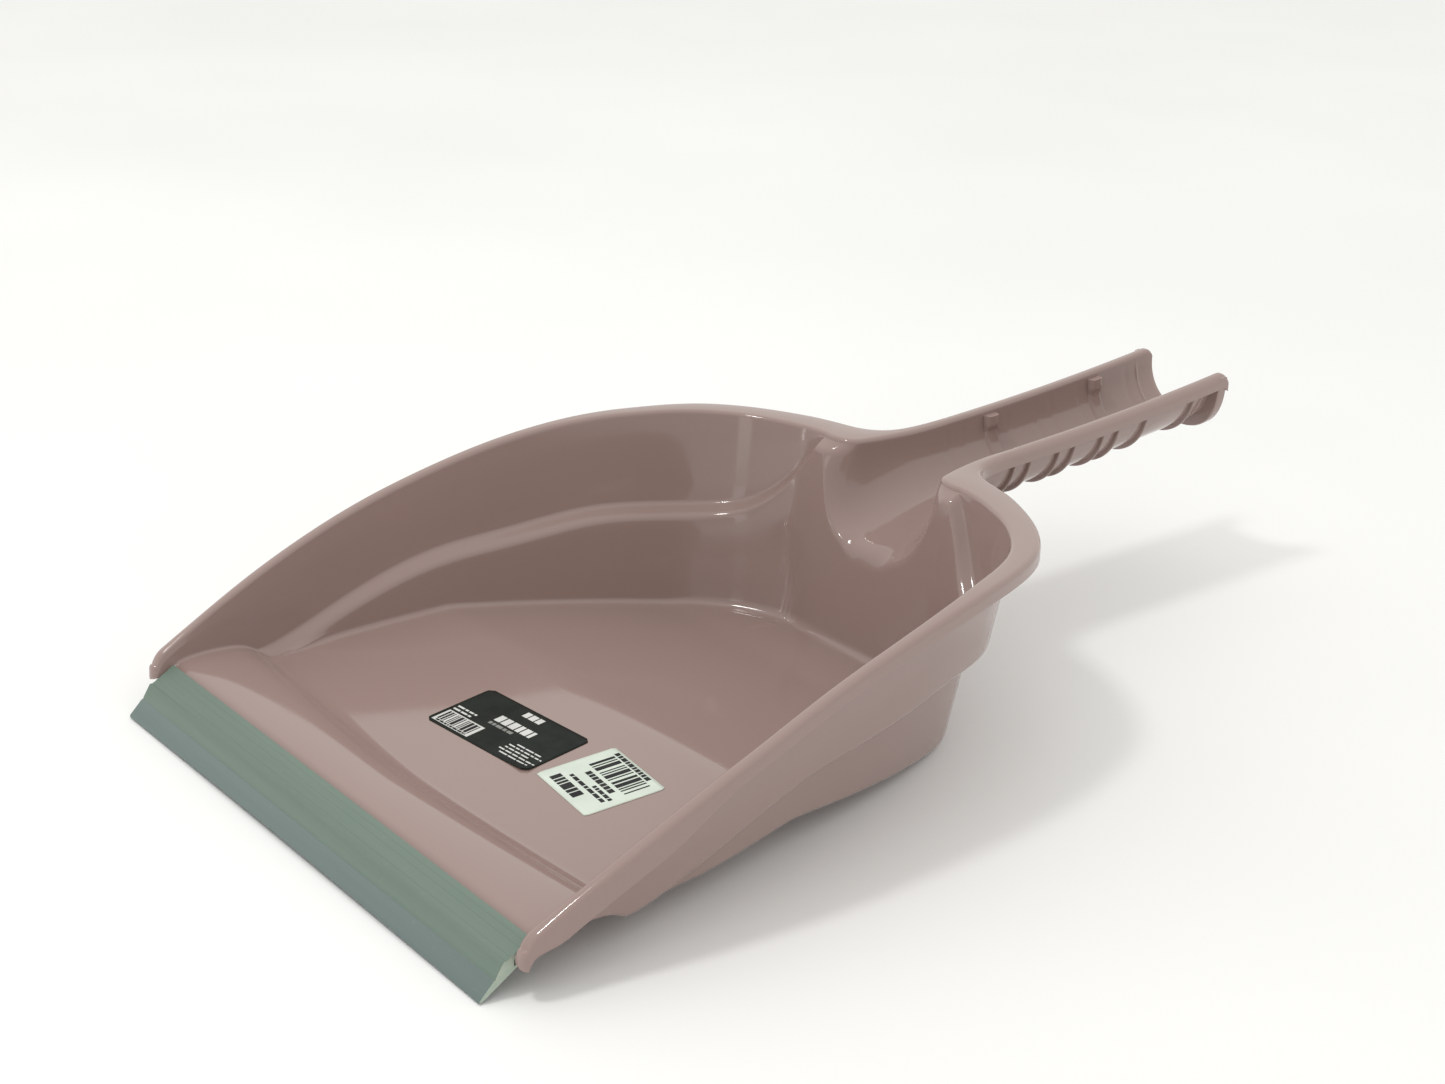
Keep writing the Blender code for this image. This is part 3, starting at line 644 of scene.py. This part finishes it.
# ---- materials ----
class Surface:
    """A Principled material and short ways to add nodes to it."""

    def __init__(self, name, roughness, specular=0.5):
        self.material = bpy.data.materials.new(name)
        self.material.use_nodes = True
        self.tree = self.material.node_tree
        self.shader = self.tree.nodes["Principled BSDF"]
        self.shader.inputs["Roughness"].default_value = roughness
        self.shader.inputs["Specular IOR Level"].default_value = specular
        self.place = self.node("ShaderNodeTexCoord").outputs["Object"]

    def node(self, kind, **settings):
        made = self.tree.nodes.new(kind)
        for key, value in settings.items():
            setattr(made, key, value)
        return made

    def feed(self, node, **values):
        for key, value in values.items():
            socket = node.inputs[key.replace("_", " ")]
            if isinstance(value, bpy.types.NodeSocket):
                self.tree.links.new(value, socket)
            else:
                socket.default_value = value
        return node

    def noise(self, scale, detail, stretch=None, roughness=0.5):
        place = self.place
        if stretch:
            place = self.feed(self.node("ShaderNodeMapping"), Vector=place,
                              Scale=stretch).outputs["Vector"]
        made = self.node("ShaderNodeTexNoise")
        self.feed(made, Vector=place, Scale=scale, Detail=detail, Roughness=roughness)
        return made.outputs["Fac"]

    def ramp(self, value, stops):
        made = self.node("ShaderNodeValToRGB")
        ramp = made.color_ramp
        while len(ramp.elements) < len(stops):
            ramp.elements.new(0.5)
        for element, (place, colour) in zip(ramp.elements, stops):
            element.position = place
            element.color = (*colour, 1)
        self.feed(made, Fac=value)
        return made.outputs["Color"]

    def spread(self, value, low, high, from_low=0.3, from_high=0.7):
        made = self.node("ShaderNodeMapRange")
        self.feed(made, Value=value, From_Min=from_low, From_Max=from_high,
                  To_Min=low, To_Max=high)
        return made.outputs["Result"]

    def mix(self, a, b, amount):
        made = self.node("ShaderNodeMix", data_type="RGBA")
        for socket, value in ((made.inputs["Factor"], amount), (made.inputs[6], a),
                              (made.inputs[7], b)):
            if isinstance(value, bpy.types.NodeSocket):
                self.tree.links.new(value, socket)
            else:
                socket.default_value = value
        return made.outputs[2]

    def bump(self, layers):
        """Bump layers (height, distance in metres, strength), one on top of another."""
        normal = None
        for height, distance, strength in layers:
            made = self.node("ShaderNodeBump")
            self.feed(made, Height=height, Distance=distance, Strength=strength)
            if normal:
                self.tree.links.new(normal, made.inputs["Normal"])
            normal = made.outputs["Normal"]
        self.tree.links.new(normal, self.shader.inputs["Normal"])

    def colour(self, value):
        self.tree.links.new(value, self.shader.inputs["Base Color"])

    def rough(self, value):
        self.tree.links.new(value, self.shader.inputs["Roughness"])


def pan_plastic():
    s = Surface("pan_plastic", 0.09, 0.6)
    flow = s.noise(7, 4, stretch=(1.0, 0.35, 1.0))
    body = s.ramp(flow, ((0.3, (0.300, 0.212, 0.192)), (0.7, (0.316, 0.223, 0.202))))
    grain = s.spread(s.noise(2600, 2), 0.0, 0.05, 0.4, 0.75)
    body = s.mix(body, (0.42, 0.33, 0.30, 1), grain)
    # painted highlight: convex edges, found by their pointiness, are painted lighter
    edges = s.spread(s.node("ShaderNodeNewGeometry").outputs["Pointiness"], 0.0, 0.12, 0.52, 0.62)
    s.colour(s.mix(body, (0.42, 0.30, 0.275, 1), edges))
    scuffs = s.noise(45, 5, stretch=(1, 3, 2), roughness=0.65)
    s.rough(s.spread(scuffs, 0.06, 0.12))
    s.bump(((s.noise(22, 1), 0.0001, 0.1), (s.noise(3200, 2), 0.000003, 0.4)))
    return s.material


def lip_rubber(name, low, high):
    s = Surface(name, 0.5)
    bands = s.noise(30, 3, stretch=(0.15, 4, 4))
    body = s.ramp(bands, ((0.35, low), (0.65, high)))
    dust = s.spread(s.noise(700, 3), 0.0, 0.1, 0.66, 0.8)
    s.colour(s.mix(body, (0.45, 0.48, 0.44, 1), dust))
    s.rough(s.spread(s.noise(220, 4, stretch=(0.2, 3, 3)), 0.42, 0.58))
    s.bump(((s.noise(900, 2, stretch=(0.06, 1, 1)), 0.00003, 0.5),
            (s.noise(2200, 2), 0.00001, 0.35)))
    return s.material


def film(name, low, high, roughness, specular=0.5):
    s = Surface(name, roughness, specular)
    s.colour(s.ramp(s.noise(90, 3), ((0.35, low), (0.65, high))))
    s.rough(s.spread(s.noise(260, 4), roughness - 0.05, roughness + 0.08))
    s.bump(((s.noise(120, 2), 0.00004, 0.3), (s.noise(2600, 2), 0.000006, 0.3)))
    return s.material


# ---- pan ----
def pan_sheet():
    """Upper surface of the moulding."""
    top, wall, profile, rim = bowl()
    rows = len(profile) - 1
    middle_x = [wall[-1, 0, 0] * (1 - j / BELOW_MOUTH) for j in range(1, BELOW_MOUTH + 1)]
    below = np.stack([wall[-1, rows:] * (0, 1, 1) + (x, 0, 0) for x in middle_x])
    wall, below = with_corner(wall), with_corner(below)
    sheet = Sheet()
    sheet.grid(top)
    sheet.grid(wall)
    sheet.grid(nose_cap(np.concatenate([top[0], wall[0, 1:SKIRT_ROWS + 1]])))
    sheet.grid(np.concatenate([wall[-1:, rows:], below]))
    edge = np.concatenate([wall[:, -1], below[:, -1]])
    corner = CORNER * FINER
    sheet.grid(floor_patch(edge[:corner + 1], edge[corner:]))

    frame_line = np.concatenate([wall[-1, :rows + 1], below[:, 0]])
    to_shelf = UPPER_ROWS + FILLET_ROWS + LEDGE_ROWS
    shares = [mouth_share(d) for d in profile[:to_shelf + 1, 1]]
    rest = frame_line[to_shelf:]
    run = np.concatenate([[0], np.cumsum(np.linalg.norm(np.diff(rest, axis=0), axis=1))])
    shares += list(shares[-1] + (1 - shares[-1]) * run[1:] / run[-1])
    shares[-1] = 1
    opening, wall_y = mouth(profile, rim, shares)
    strips = []
    for f in FRAME_STEPS:
        row = frame_line + (opening[:, 0] - frame_line) * f
        if 0 < f < 1:
            row[1:, 1] = wall_y(row[1:, 2])
        strips.append(row)
    sheet.grid(np.stack(strips))
    sheet.grid(opening)
    before, behind, end = STEP_LINE - LINE_REACH, STEP_LINE + LINE_REACH, LENGTH - GRIP_END_ROUND
    places = np.concatenate([np.arange(FLARE_START, GRIP_START, FLARE_STEP),
                             np.arange(GRIP_START, before, GRIP_STEP),
                             np.arange(before, behind, LINE_STEP),
                             np.arange(behind, end, GRIP_STEP),
                             end + GRIP_END_ROUND * np.sin(np.linspace(0, math.pi / 2, END_PLACES))])
    even = np.linspace(0, 1, len(shares))
    tube = np.zeros((len(shares), len(places), 3))
    for i, (m, e) in enumerate(zip(shares, even)):
        for j, y in enumerate(places):
            share = m + (e - m) * ease((y - EVEN_FROM) / EVEN_OVER)
            point = channel(y, share)
            inward = np.array([-point[0], 0, rim_height(y) - point[2]])
            if 0 < share:
                point = point + inward / np.linalg.norm(inward) * channel_relief(y, share)
            if share >= 1:
                point[0] = 0
            tube[i, j] = point
    tube = np.concatenate([opening[:, -1:], tube], 1)
    sheet.grid(tube)

    beside = [row[0] for row in strips[1:]]
    edge = np.concatenate([frame_line[:1], beside, opening[0, 1:], tube[0, 1:]])
    run = np.concatenate([[0], np.cumsum(np.linalg.norm(np.diff(edge[:, :2], axis=0), axis=1))])
    turned = edge[:, 1] < RIBS[0]
    turn = run[turned][-1]
    outer = spline(RIM_OUTER, PLACES[-1] + (len(RIM_OUTER) - 1 - PLACES[-1]) * run / turn)
    outer[~turned] = np.column_stack([0 * edge[~turned, 1] + GRIP_OUTER, edge[~turned, 1]])
    rounding = RIM_ROUND + (GRIP_ROUND - RIM_ROUND) * np.clip(run / turn, 0, 1)
    grip_rail, _ = rail(edge[:, :2], outer, rounding)
    grip_rail[:, -1] = edge
    grip_rail[0] = top[-1]
    sheet.grid(grip_rail)
    sheet.mirror()
    return sheet


def nose_cap(outline):
    """Rounded front end of the rail, between the two sides of its outline."""
    half = len(outline) // 2
    grid = []
    for k in range(half):
        outer, inner = outline[k], outline[-1 - k]
        row = []
        for w in np.linspace(0, 1, NOSE_ROWS + 1):
            if k == half - 1:
                row.append(outer if w < 0.5 else inner)
                continue
            level = math.sqrt(1 - (k / (half - 1)) ** 2)
            across = math.sqrt(max(1 - abs(2 * w - 1) ** NOSE_POWER, 0))
            row.append(outer + (inner - outer) * w - (0, NOSE_BULGE * across * level, 0))
        grid.append(row)
    return grid


def fin(y, width, height, flare=0.0, corner=0.0, squareness=RIB_SQUARE):
    """A rounded rib round the grip; flare and corner add height at the rim and half way down."""
    shares = np.linspace(0, 1, RIB_SHARES)
    sections = []
    for f in np.linspace(-1, 1, RIB_SECTIONS):
        place = y + f * width / 2
        half = np.array([channel(place, s) for s in shares])
        curve = np.concatenate([half * (-1, 1, 1), half[-2::-1]])[:, [0, 2]]
        along = np.gradient(curve, axis=0)
        outward = np.column_stack([along[:, 1], -along[:, 0]])
        outward /= np.linalg.norm(outward, axis=1)[:, None]
        outward[0], outward[-1] = (-1, 0), (1, 0)
        both = np.concatenate([shares, shares[-2::-1]])
        profile = max(1 - abs(f) ** squareness, 0) ** 0.5
        more = flare * (1 - both) ** 2 + corner * (4 * both * (1 - both)) ** 2
        rise = WALL + (height + more) * profile
        near = curve + outward * WALL / 2
        far = curve + outward * rise[:, None]
        under = rim_height(place) - WALL / 2
        near[[0, -1], 1], far[[0, -1], 1] = under, under
        ring = np.concatenate([near, far[::-1]])
        sections.append([(x, place, z) for x, z in ring])
    return loft(sections)


def tab(y, side):
    """A block on the channel's wall with a stem that runs out below."""
    shares = np.linspace(TAB_TOP, TAB_END, TAB_SHARES)
    sections = []
    for f in np.linspace(-1, 1, TAB_SECTIONS):
        place = y + f * TAB_LENGTH / 2
        wall = np.array([channel(place, s) for s in shares])[:, [0, 2]]
        bulge = max(1 - abs(f) ** TAB_SQUARE, 0) ** 0.5
        head = 1 - ease((shares - TAB_HEAD) / TAB_HEAD_FADE)
        reach = TAB_STEM * (1 - (shares / TAB_END) ** 2) + (TAB_HEIGHT - TAB_STEM) * head
        reach = bulge * reach
        inside = wall - np.column_stack([reach, np.zeros(len(shares))])
        embedded = wall + [(WALL / 2, -WALL * s / 2) for s in shares]
        ring = np.concatenate([inside, embedded[::-1]])
        sections.append([(side * x, place, z) for x, z in ring])
    return loft(sections)


def recalculate(body):
    """Turn every face outward."""
    work = bmesh.new()
    work.from_mesh(body.data)
    bmesh.ops.recalc_face_normals(work, faces=work.faces)
    work.to_mesh(body.data)
    work.free()


def build_pan(material):
    """The shell, the ribs outside the grip and the tabs inside it."""
    sheet = pan_sheet()
    pan = new_object("pan_shell", sheet.points, sheet.faces, [material])
    recalculate(pan)
    lowest = min(pan.data.polygons, key=lambda f: f.center.z)
    if lowest.normal.z < 0:
        pan.data.flip_normals()
    shell = pan.modifiers.new("thickness", "SOLIDIFY")
    shell.thickness = WALL * MM
    shell.offset = -1
    shell.use_quality_normals = True
    edges = pan.modifiers.new("edges", "BEVEL")
    edges.limit_method = "ANGLE"
    edges.angle_limit = math.radians(EDGE_ANGLE)
    edges.width = EDGE_WIDTH * MM
    edges.segments = 2
    ribs = [fin(y, RIB_WIDTH, RIB_HEIGHT) for y in RIBS]
    ribs.append(fin(LENGTH - END_BAND / 2 - END_BAND_INSET, END_BAND, RIB_HEIGHT, END_BAND_TOP,
                    END_BAND_CORNER, END_BAND_SQUARE))
    grip_ribs = new_object("grip_ribs", *gathered(ribs), [material], RIB_ANGLE)
    tabs = [tab(y, side) for y in TABS for side in (-1, 1)]
    grip_tabs = new_object("grip_tabs", *gathered(tabs), [material], RIB_ANGLE)
    for body in (grip_ribs, grip_tabs):
        recalculate(body)
    return [pan, grip_ribs, grip_tabs]


# ---- lip ----
def rounded_outline(corners, size):
    """A closed outline with every corner rounded by a short curve."""
    corners = [np.array(c, float) for c in corners]
    points = []
    for i, c in enumerate(corners):
        a, b = corners[i - 1], corners[(i + 1) % len(corners)]
        cut_a = min(size, MOST_OF_A_SIDE * np.linalg.norm(a - c))
        cut_b = min(size, MOST_OF_A_SIDE * np.linalg.norm(b - c))
        start = c + (a - c) / np.linalg.norm(a - c) * cut_a
        end = c + (b - c) / np.linalg.norm(b - c) * cut_b
        points += [bezier(start, c, end, f) for f in LIP_STEPS]
    return points


def leaf_line():
    """Top of the lip's upper leaf with its fine raised lines, heel to ridge."""
    heel, ridge = np.array(LIP_TOP[0]), np.array(LIP_TOP[1])
    along = ridge - heel
    normal = np.array([along[1], -along[0]]) / np.linalg.norm(along)
    normal = normal if normal[1] > 0 else -normal
    half = LIP_LINE_HALF / np.linalg.norm(along)
    points = [heel]
    for share in LIP_LINES:
        points += [heel + along * (share - half), heel + along * share + normal * LIP_LINE_HEIGHT,
                   heel + along * (share + half)]
    return points + [ridge]


def build_lip(rubber, cut_rubber, blade_painted_shade):
    """Strip with a slot over the moulding, swept from one ragged end to the other."""
    draw = random.Random(LIP_SEED)
    ramp_y = np.linspace(FRONT - LIP_CLEARANCE, LIP_TOP[0][0], LIP_SLOT_POINTS)
    sections = []
    places = np.linspace(-LIP_LENGTH / 2, LIP_LENGTH / 2, LIP_SECTIONS)
    places = np.concatenate([[places[0], places[0] + LIP_CUT], places[1:-1],
                             [places[-1] - LIP_CUT, places[-1]]])
    for i, x in enumerate(places):
        top = floor_height(x, np.maximum(ramp_y, FRONT))
        slope = (top[-1] - top[0]) / (ramp_y[-1] - ramp_y[0])
        thick = WALL * math.hypot(1, slope)
        clear = LIP_CLEARANCE
        slot = [(y, z + clear) for y, z in zip(ramp_y[::-1], top[::-1])]
        slot += [(y, z - thick - clear) for y, z in zip(ramp_y, top)]
        leaf = [(y, z - thick - clear - LIP_LEAF) for y, z in zip(ramp_y[::-1], top[::-1])]
        outline = rounded_outline([*leaf_line(), *LIP_TOP[2:], *LIP_TIP, *reversed(leaf),
                                   *reversed(slot)], LIP_ROUND)
        rise = LIP_BOW * (1 - (2 * x / LIP_LENGTH) ** 2)
        at_end = i in (0, len(places) - 1)
        section = []
        for y, z in outline:
            ragged = draw.uniform(0, LIP_RAGGED) if at_end else 0
            section.append((x - math.copysign(ragged, x), y, z + rise * max(0, 1 - y / LIP_BOW_REACH)))
        sections.append(section)
    points, faces = loft(sections)
    lip = new_object("lip_strip", points, faces, [rubber, cut_rubber, blade_painted_shade], LIP_ANGLE)
    recalculate(lip)
    # end faces get the cut rubber; faces in front of the shade line get the blade's painted shade
    for face in lip.data.polygons:
        if abs(face.normal.x) > LIP_END_FACE:
            face.material_index = 1
        elif face.center.y < TIP_Y + LIP_PAINTED_SHADE_LINE * MM:
            face.material_index = 2
    return lip


# ---- labels ----
def label_point(label, u, v, lift):
    """Point over the floor at u, v mm right of and behind the label's middle."""
    (centre_x, centre_y), _, turn = label
    turn = math.radians(turn)
    x = centre_x + u * math.cos(turn) - v * math.sin(turn)
    y = centre_y + u * math.sin(turn) + v * math.cos(turn)
    return (x, y, float(floor_height(np.float64(x), np.float64(y))) + lift + curl(label, u, v))


def curl(label, u, v):
    """The product label's front right corner has come up a little."""
    if label is not PRODUCT_LABEL:
        return 0.0
    width, depth = label[1]
    reach = (u / (width / 2) - v / (depth / 2)) / 2
    return CURL_HEIGHT * max(reach - CURL_FROM, 0) ** 2 / (1 - CURL_FROM) ** 2


def build_label(name, label, corner, material):
    """Thin plate with rounded corners that follows the floor."""
    width, depth = label[1]
    sheet = Sheet()
    grid = []
    for i in range(LABEL_ROWS + 1):
        row = []
        v = depth * (i / LABEL_ROWS - 0.5)
        near = max(abs(v) - (depth / 2 - corner), 0)
        half = width / 2 - corner + math.sqrt(max(corner ** 2 - near ** 2, 0))
        for j in range(LABEL_COLUMNS + 1):
            row.append(label_point(label, half * (2 * j / LABEL_COLUMNS - 1), v,
                                   LABEL_LIFT + LABEL_THICKNESS))
        grid.append(row)
    sheet.grid(grid)
    body = new_object(name, sheet.points, sheet.faces, [material])
    plate = body.modifiers.new("thickness", "SOLIDIFY")
    plate.thickness = LABEL_THICKNESS * MM
    plate.offset = -1
    return body


def plates(label, boxes):
    """Thin plates of ink on a label: (left, front, right, back) as shares of it."""
    width, depth = label[1]
    parts = []
    for left, front, right, back in boxes:
        u = [width * (s - 0.5) for s in (left, right)]
        v = [depth * (s - 0.5) for s in (front, back)]
        corners = ((u[0], v[0]), (u[1], v[0]), (u[1], v[1]), (u[0], v[1]))
        base = LABEL_LIFT + LABEL_THICKNESS
        parts.append(loft([[label_point(label, a, b, base + lift) for a, b in corners]
                           for lift in (INK_LIFT, INK_THICKNESS)]))
    return gathered(parts)


def flipped(boxes):
    """Boxes given from the label's left and top edge, in plates' order."""
    return [(left, 1 - bottom, right, 1 - top) for left, top, right, bottom in boxes]


def words(draw, left, top, right, bottom, mean):
    """A line of word-like blocks, in place of lettering."""
    boxes, x = [], left
    while x < right - mean * WORD_LEAST:
        end = min(x + mean * draw.uniform(*WORD_LENGTHS), right)
        boxes.append((x, top, end, bottom))
        x = end + mean * WORD_GAP
    return boxes


def barcode(draw, left, top, right, bottom):
    """Bars of random width, in place of a code."""
    boxes, x = [], left
    thin = (right - left) / BARS
    while x < right - thin:
        wide = thin * draw.choice(BAR_WIDTHS)
        boxes.append((x, top, min(x + wide, right), bottom))
        x += wide + thin * draw.choice(BAR_GAPS)
    return boxes


def build_labels(black, white, white_ink, grey_ink, black_ink):
    """Both labels and their print."""
    draw = random.Random(INK_SEED)
    product = build_label("product_label_film", PRODUCT_LABEL, PRODUCT_ROUND, black)
    price = build_label("price_label_film", PRICE_LABEL, PRICE_ROUND, white)
    pale = [box for line in PRODUCT_WORDS for box in words(draw, *line)]
    for i, (left, right) in enumerate(SMALL_PRINT):
        top, bottom = (edge + SMALL_PRINT_STEP * i for edge in SMALL_PRINT_FIRST)
        pale += words(draw, left, top, right, bottom, SMALL_PRINT_WORD)
    pale.append(PRODUCT_BLOCK)
    bars = barcode(draw, *PRODUCT_BARS) + words(draw, *PRODUCT_DIGITS)
    grey = words(draw, *PRODUCT_GREY)
    ink = words(draw, *PRICE_TITLE) + barcode(draw, *PRICE_BARS)
    ink += [box for line in PRICE_WORDS for box in words(draw, *line)]
    marks = []
    for name, label, boxes, lift, material in (
            ("product_label_print", PRODUCT_LABEL, pale, 0, white_ink),
            ("product_label_print_grey", PRODUCT_LABEL, grey, 0, grey_ink),
            ("product_label_barcode", PRODUCT_LABEL, bars, INK_THICKNESS, black_ink),
            ("price_label_print", PRICE_LABEL, ink, 0, black_ink)):
        points, faces = plates(label, flipped(boxes))
        points = [(x, y, z + lift) for x, y, z in points]
        marks.append(new_object(name, points, faces, [material], INK_ANGLE))
        recalculate(marks[-1])
    return product, price, marks


# ---- studio ----
CAMERA_PLACE = (0.566126, -0.499502, 0.361617)
CAMERA_AZIMUTH = 50.539
CAMERA_ELEVATION = 22.308
CAMERA_ROLL = 1.450
CAMERA_LENS = 56.83
CAMERA_SENSOR = 36
CAMERA_NEAREST = 0.01
LIGHT_DISTANCE = 1.5
LIGHT_AIM = (0, 0, 0.04)
FLOOR_HALF = 6.0
FLOOR_TOP = -0.0005      # just under the object


def basis(azimuth, elevation, roll):
    """Right, up and back of a camera at this azimuth and elevation, in degrees."""
    a, e, r = (math.radians(v) for v in (azimuth, elevation, roll))
    back = np.array([math.sin(a) * math.cos(e), -math.cos(a) * math.cos(e), math.sin(e)])
    level = np.array([math.cos(a), math.sin(a), 0])
    up = np.cross(back, level)
    right = level * math.cos(r) + up * math.sin(r)
    return right, np.cross(back, right), back


def rotation(right, up, back):
    """Matrix that turns the axes into these three."""
    return Matrix(np.column_stack([right, up, back]).tolist()).to_4x4()


def build_camera():
    data = bpy.data.cameras.new("camera")
    data.sensor_width = CAMERA_SENSOR
    data.lens = CAMERA_LENS
    data.clip_start = CAMERA_NEAREST
    camera = bpy.data.objects.new("camera", data)
    turn = rotation(*basis(CAMERA_AZIMUTH, CAMERA_ELEVATION, CAMERA_ROLL))
    camera.matrix_world = Matrix.Translation(CAMERA_PLACE) @ turn
    bpy.context.scene.collection.objects.link(camera)
    bpy.context.scene.camera = camera


def area_light(name, azimuth, elevation, size, power):
    """A soft rectangular light that looks at the middle of the object."""
    data = bpy.data.lights.new(name, "AREA")
    data.shape = "RECTANGLE"
    data.size, data.size_y = size
    data.energy = power
    light = bpy.data.objects.new(name, data)
    right, up, back = basis(azimuth, elevation, 0)
    place = np.array(LIGHT_AIM) + back * LIGHT_DISTANCE
    light.matrix_world = Matrix.Translation(place) @ rotation(right, up, back)
    bpy.context.scene.collection.objects.link(light)


def build_studio():
    floor = bpy.data.meshes.new("studio_floor")
    corners = [(x * FLOOR_HALF, y * FLOOR_HALF, FLOOR_TOP)
               for x, y in ((-1, -1), (1, -1), (1, 1), (-1, 1))]
    floor.from_pydata(corners, [], [(0, 1, 2, 3)])
    s = Surface("studio_floor", 0.7)
    s.colour(s.ramp(s.noise(3, 2), ((0.3, (0.86, 0.86, 0.86)), (0.7, (0.9, 0.9, 0.9)))))
    floor.materials.append(s.material)
    ground = bpy.data.objects.new("studio_floor", floor)
    bpy.context.scene.collection.objects.link(ground)
    build_world()
    bpy.context.scene.view_settings.view_transform = "Standard"
    area_light("key", -20, 62, (0.2, 0.2), 5)
    area_light("window", -22, 3, (0.05, 0.8), 0.5)
    area_light("wide_window", 13, 3, (0.26, 0.8), 0.6)


def build_world():
    """White surroundings, a little dimmer low on the right and in front."""
    world = bpy.data.worlds.new("studio")
    world.use_nodes = True
    tree = world.node_tree
    tree.nodes["Background"].inputs["Color"].default_value = (1, 0.998, 0.965, 1)
    place = tree.nodes.new("ShaderNodeTexCoord")
    facing = tree.nodes.new("ShaderNodeVectorMath")
    facing.operation = "DOT_PRODUCT"
    facing.inputs[1].default_value = (-0.3, 0.65, 0.7)
    tree.links.new(place.outputs["Generated"], facing.inputs[0])
    level = tree.nodes.new("ShaderNodeMapRange")
    for name, value in (("From Min", -0.6), ("From Max", 0.5), ("To Min", 0.70), ("To Max", 1.02)):
        level.inputs[name].default_value = value
    tree.links.new(facing.outputs["Value"], level.inputs["Value"])
    tree.links.new(level.outputs["Result"], tree.nodes["Background"].inputs["Strength"])
    bpy.context.scene.world = world


def main():
    pink = pan_plastic()
    pan, ribs, tabs = build_pan(pink)
    # the third rubber is painted shade: the blade is coloured darker and bluer than the lip's top
    lip = build_lip(lip_rubber("lip_rubber", (0.134, 0.184, 0.150), (0.154, 0.208, 0.170)),
                    lip_rubber("lip_rubber_cut", (0.36, 0.43, 0.36), (0.47, 0.53, 0.44)),
                    lip_rubber("lip_blade_painted_shade", (0.124, 0.166, 0.158), (0.144, 0.189, 0.179)))
    black = film("product_film", (0.010, 0.013, 0.011), (0.015, 0.019, 0.016), 0.45, 0.12)
    white = film("price_film", (0.62, 0.69, 0.61), (0.68, 0.75, 0.67), 0.5)
    inks = [film("ink_white", (0.6, 0.6, 0.58), (0.68, 0.68, 0.66), 0.4),
            film("ink_grey", (0.2, 0.2, 0.19), (0.26, 0.26, 0.25), 0.4),
            film("ink_black", (0.012, 0.012, 0.014), (0.02, 0.02, 0.022), 0.5, 0.2)]
    product, price, marks = build_labels(black, white, *inks)
    for body in (pan, ribs, tabs, lip, product, price, *marks):
        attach(body, "root")
    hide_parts("pan")
    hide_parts("rubber_lip")
    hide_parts("product_label")
    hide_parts("price_label")
    for mark in marks:
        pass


main()
build_camera()
build_studio()
